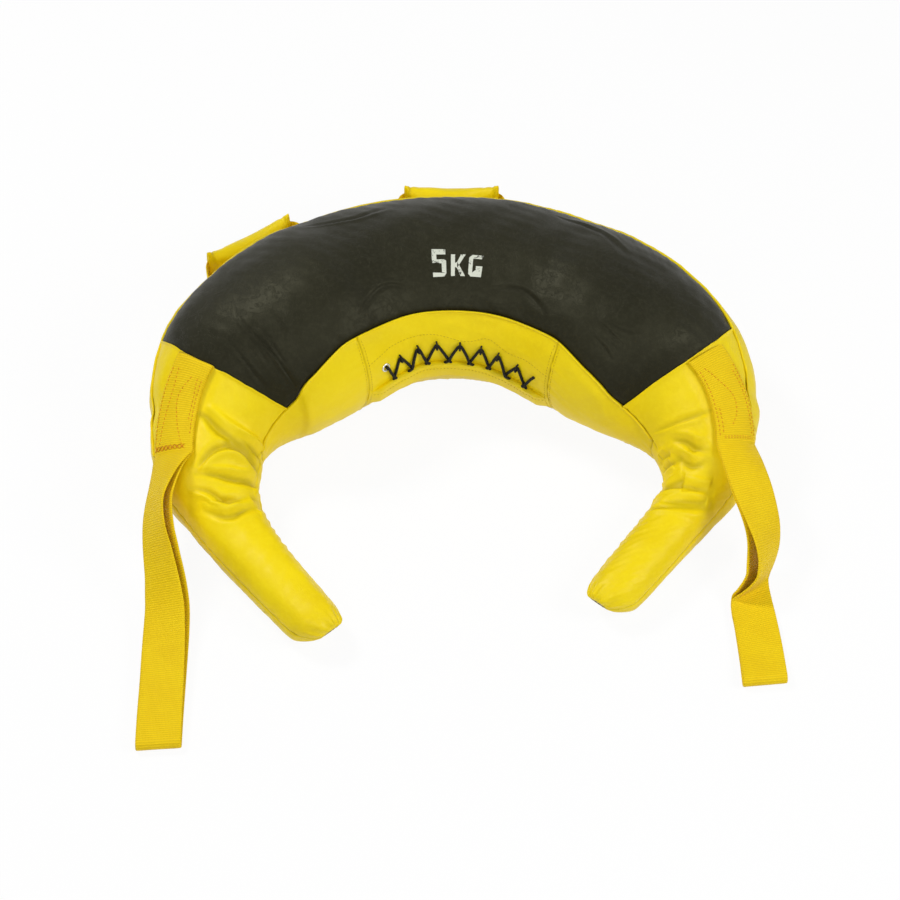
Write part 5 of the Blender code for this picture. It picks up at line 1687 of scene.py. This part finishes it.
def build_print(tree):
    """The worn weight print on the dark panel, laid on the leather."""
    points, faces = [], []
    steps = np.linspace(0, 1, PRINT_STEPS)
    for stroke in DIGIT_FIVE + LETTER_K + LETTER_G:
        a, b, c, d = np.array(stroke)
        base = len(points)
        flat = np.array([mix(mix(a, b, u), mix(d, c, u), v) for v in steps for u in steps])
        place = mix(PRINT_LEFT, PRINT_RIGHT, flat[:, 0])
        angle = mix(PRINT_BOTTOM, PRINT_TOP, flat[:, 1])
        spots, ups = dropped(tree, place, angle)
        points += list(spots + ups * PRINT_LIFT)
        for v in range(PRINT_STEPS - 1):
            for u in range(PRINT_STEPS - 1):
                first = base + v * PRINT_STEPS + u
                above = first + PRINT_STEPS
                faces.append((first, first + 1, above + 1, above))
    made = mesh_object("weight_print", points, faces, INK)
    mend(made, True)
    finish_piece(made, "black_leather", "bag")


# Stage and camera.

HIDDEN = (("centre_filling", WADDING), ("left_filling", WADDING), ("right_filling", WADDING),
          ("weight_bag", SAND), ("left_horn_core", WADDING), ("right_horn_core", WADDING),
          ("left_grip_foam", FOAM), ("centre_grip_foam", FOAM), ("right_grip_foam", FOAM))
FLOOR_SIZE = 6.0
FLOOR_GLOW = 0.93


def dress_hidden():
    """Gives the solids that stay hidden in the bag their materials."""
    for name, material in HIDDEN:
        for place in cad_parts[name].material_slots:
            place.material = material


def seen_plainly(tree, *more):
    """One for the camera's and mirrored rays and those of more kinds, otherwise zero."""
    path = node(tree, "LightPath").outputs
    seen = path["Is Camera Ray"]
    for kind in ("Is Glossy Ray", *more):
        seen = math_node(tree, "MAXIMUM", seen, path[kind])
    return seen


def build_floor():
    """A white floor that shows some of its own white to the camera, with part of its shadow."""
    made, tree, shader, where = new_material("stage_floor")
    cloud = noise(tree, where, 3.0, 2.0)
    white = mixed(tree, cloud, (0.86, 0.86, 0.86), (0.9, 0.9, 0.9))
    set_inputs(tree, shader, {"Base Color": white, "Roughness": 0.8})
    seen = math_node(tree, "MULTIPLY", seen_plainly(tree), FLOOR_GLOW)
    glow = node(tree, "Emission", {"Color": (1, 1, 1), "Strength": 1.0}).outputs[0]
    shown = node(tree, "MixShader", {"Fac": seen, 1: shader.outputs[0], 2: glow}).outputs[0]
    set_inputs(tree, tree.nodes["Material Output"], {"Surface": shown})
    corners = [(x * FLOOR_SIZE, y * FLOOR_SIZE, -CLEARANCE)
               for x, y in ((-1, -1), (1, -1), (1, 1), (-1, 1))]
    floor = mesh_object("stage_floor", corners, [(0, 1, 2, 3)], made)


def build_world():
    """Soft white light from all round, before a pure white backdrop."""
    world = bpy.data.worlds.new("studio")
    world.use_nodes = True
    bpy.context.scene.world = world
    tree = world.node_tree
    soft = tree.nodes["Background"]
    set_inputs(tree, soft, {"Color": (1, 1, 1), "Strength": 0.2})
    white = node(tree, "Background", {"Color": (1, 1, 1), "Strength": 1.0}).outputs[0]
    seen = seen_plainly(tree, "Is Transmission Ray")
    shown = node(tree, "MixShader", {"Fac": seen, 1: soft.outputs[0], 2: white}).outputs[0]
    set_inputs(tree, tree.nodes["World Output"], {"Surface": shown})


# Each lamp's place, what it is aimed at, its size and its power.
LAMPS = {"key_lamp": ((-1.1, 0.5, 1.9), (0, -0.15, 0), (0.5, 0.5), 25),
         "fill_lamp": ((1.5, -0.7, 1.3), (0, -0.15, 0), (0.7, 0.7), 16.5),
         "front_lamp": ((-0.3, -1.7, 1.5), (0, -0.1, 0), (1.0, 0.8), 13)}


def build_lights():
    for name, (spot, target, size, power) in LAMPS.items():
        data = bpy.data.lights.new(name, "AREA")
        data.shape = "RECTANGLE"
        data.size, data.size_y = size
        data.energy = power
        lamp = add_object(name, data)
        lamp.location = spot
        lamp.rotation_euler = (Vector(target) - Vector(spot)).to_track_quat("-Z", "Y").to_euler()


def build_camera():
    """The camera of the photograph, straight in front of the bag and above it."""
    data = bpy.data.cameras.new("camera")
    data.lens = CAMERA_LENS
    data.sensor_width = 36
    camera = add_object("camera", data)
    raised = math.radians(CAMERA_ELEVATION)
    offset = Vector((0, -math.cos(raised), math.sin(raised))) * CAMERA_DISTANCE
    camera.location = Vector(CAMERA_TARGET) + offset
    camera.rotation_euler = (math.radians(90 - CAMERA_ELEVATION), 0, 0)
    bpy.context.scene.camera = camera


build_camera()
build_floor()
build_world()
build_lights()
build_skins()
build_laced_panel()
build_horns()
build_lace()
build_straps()
build_grips()
leather_tree = skin_tree()
build_seams(leather_tree)
build_print(leather_tree)
dress_hidden()
bpy.context.scene.view_settings.view_transform = "Standard"
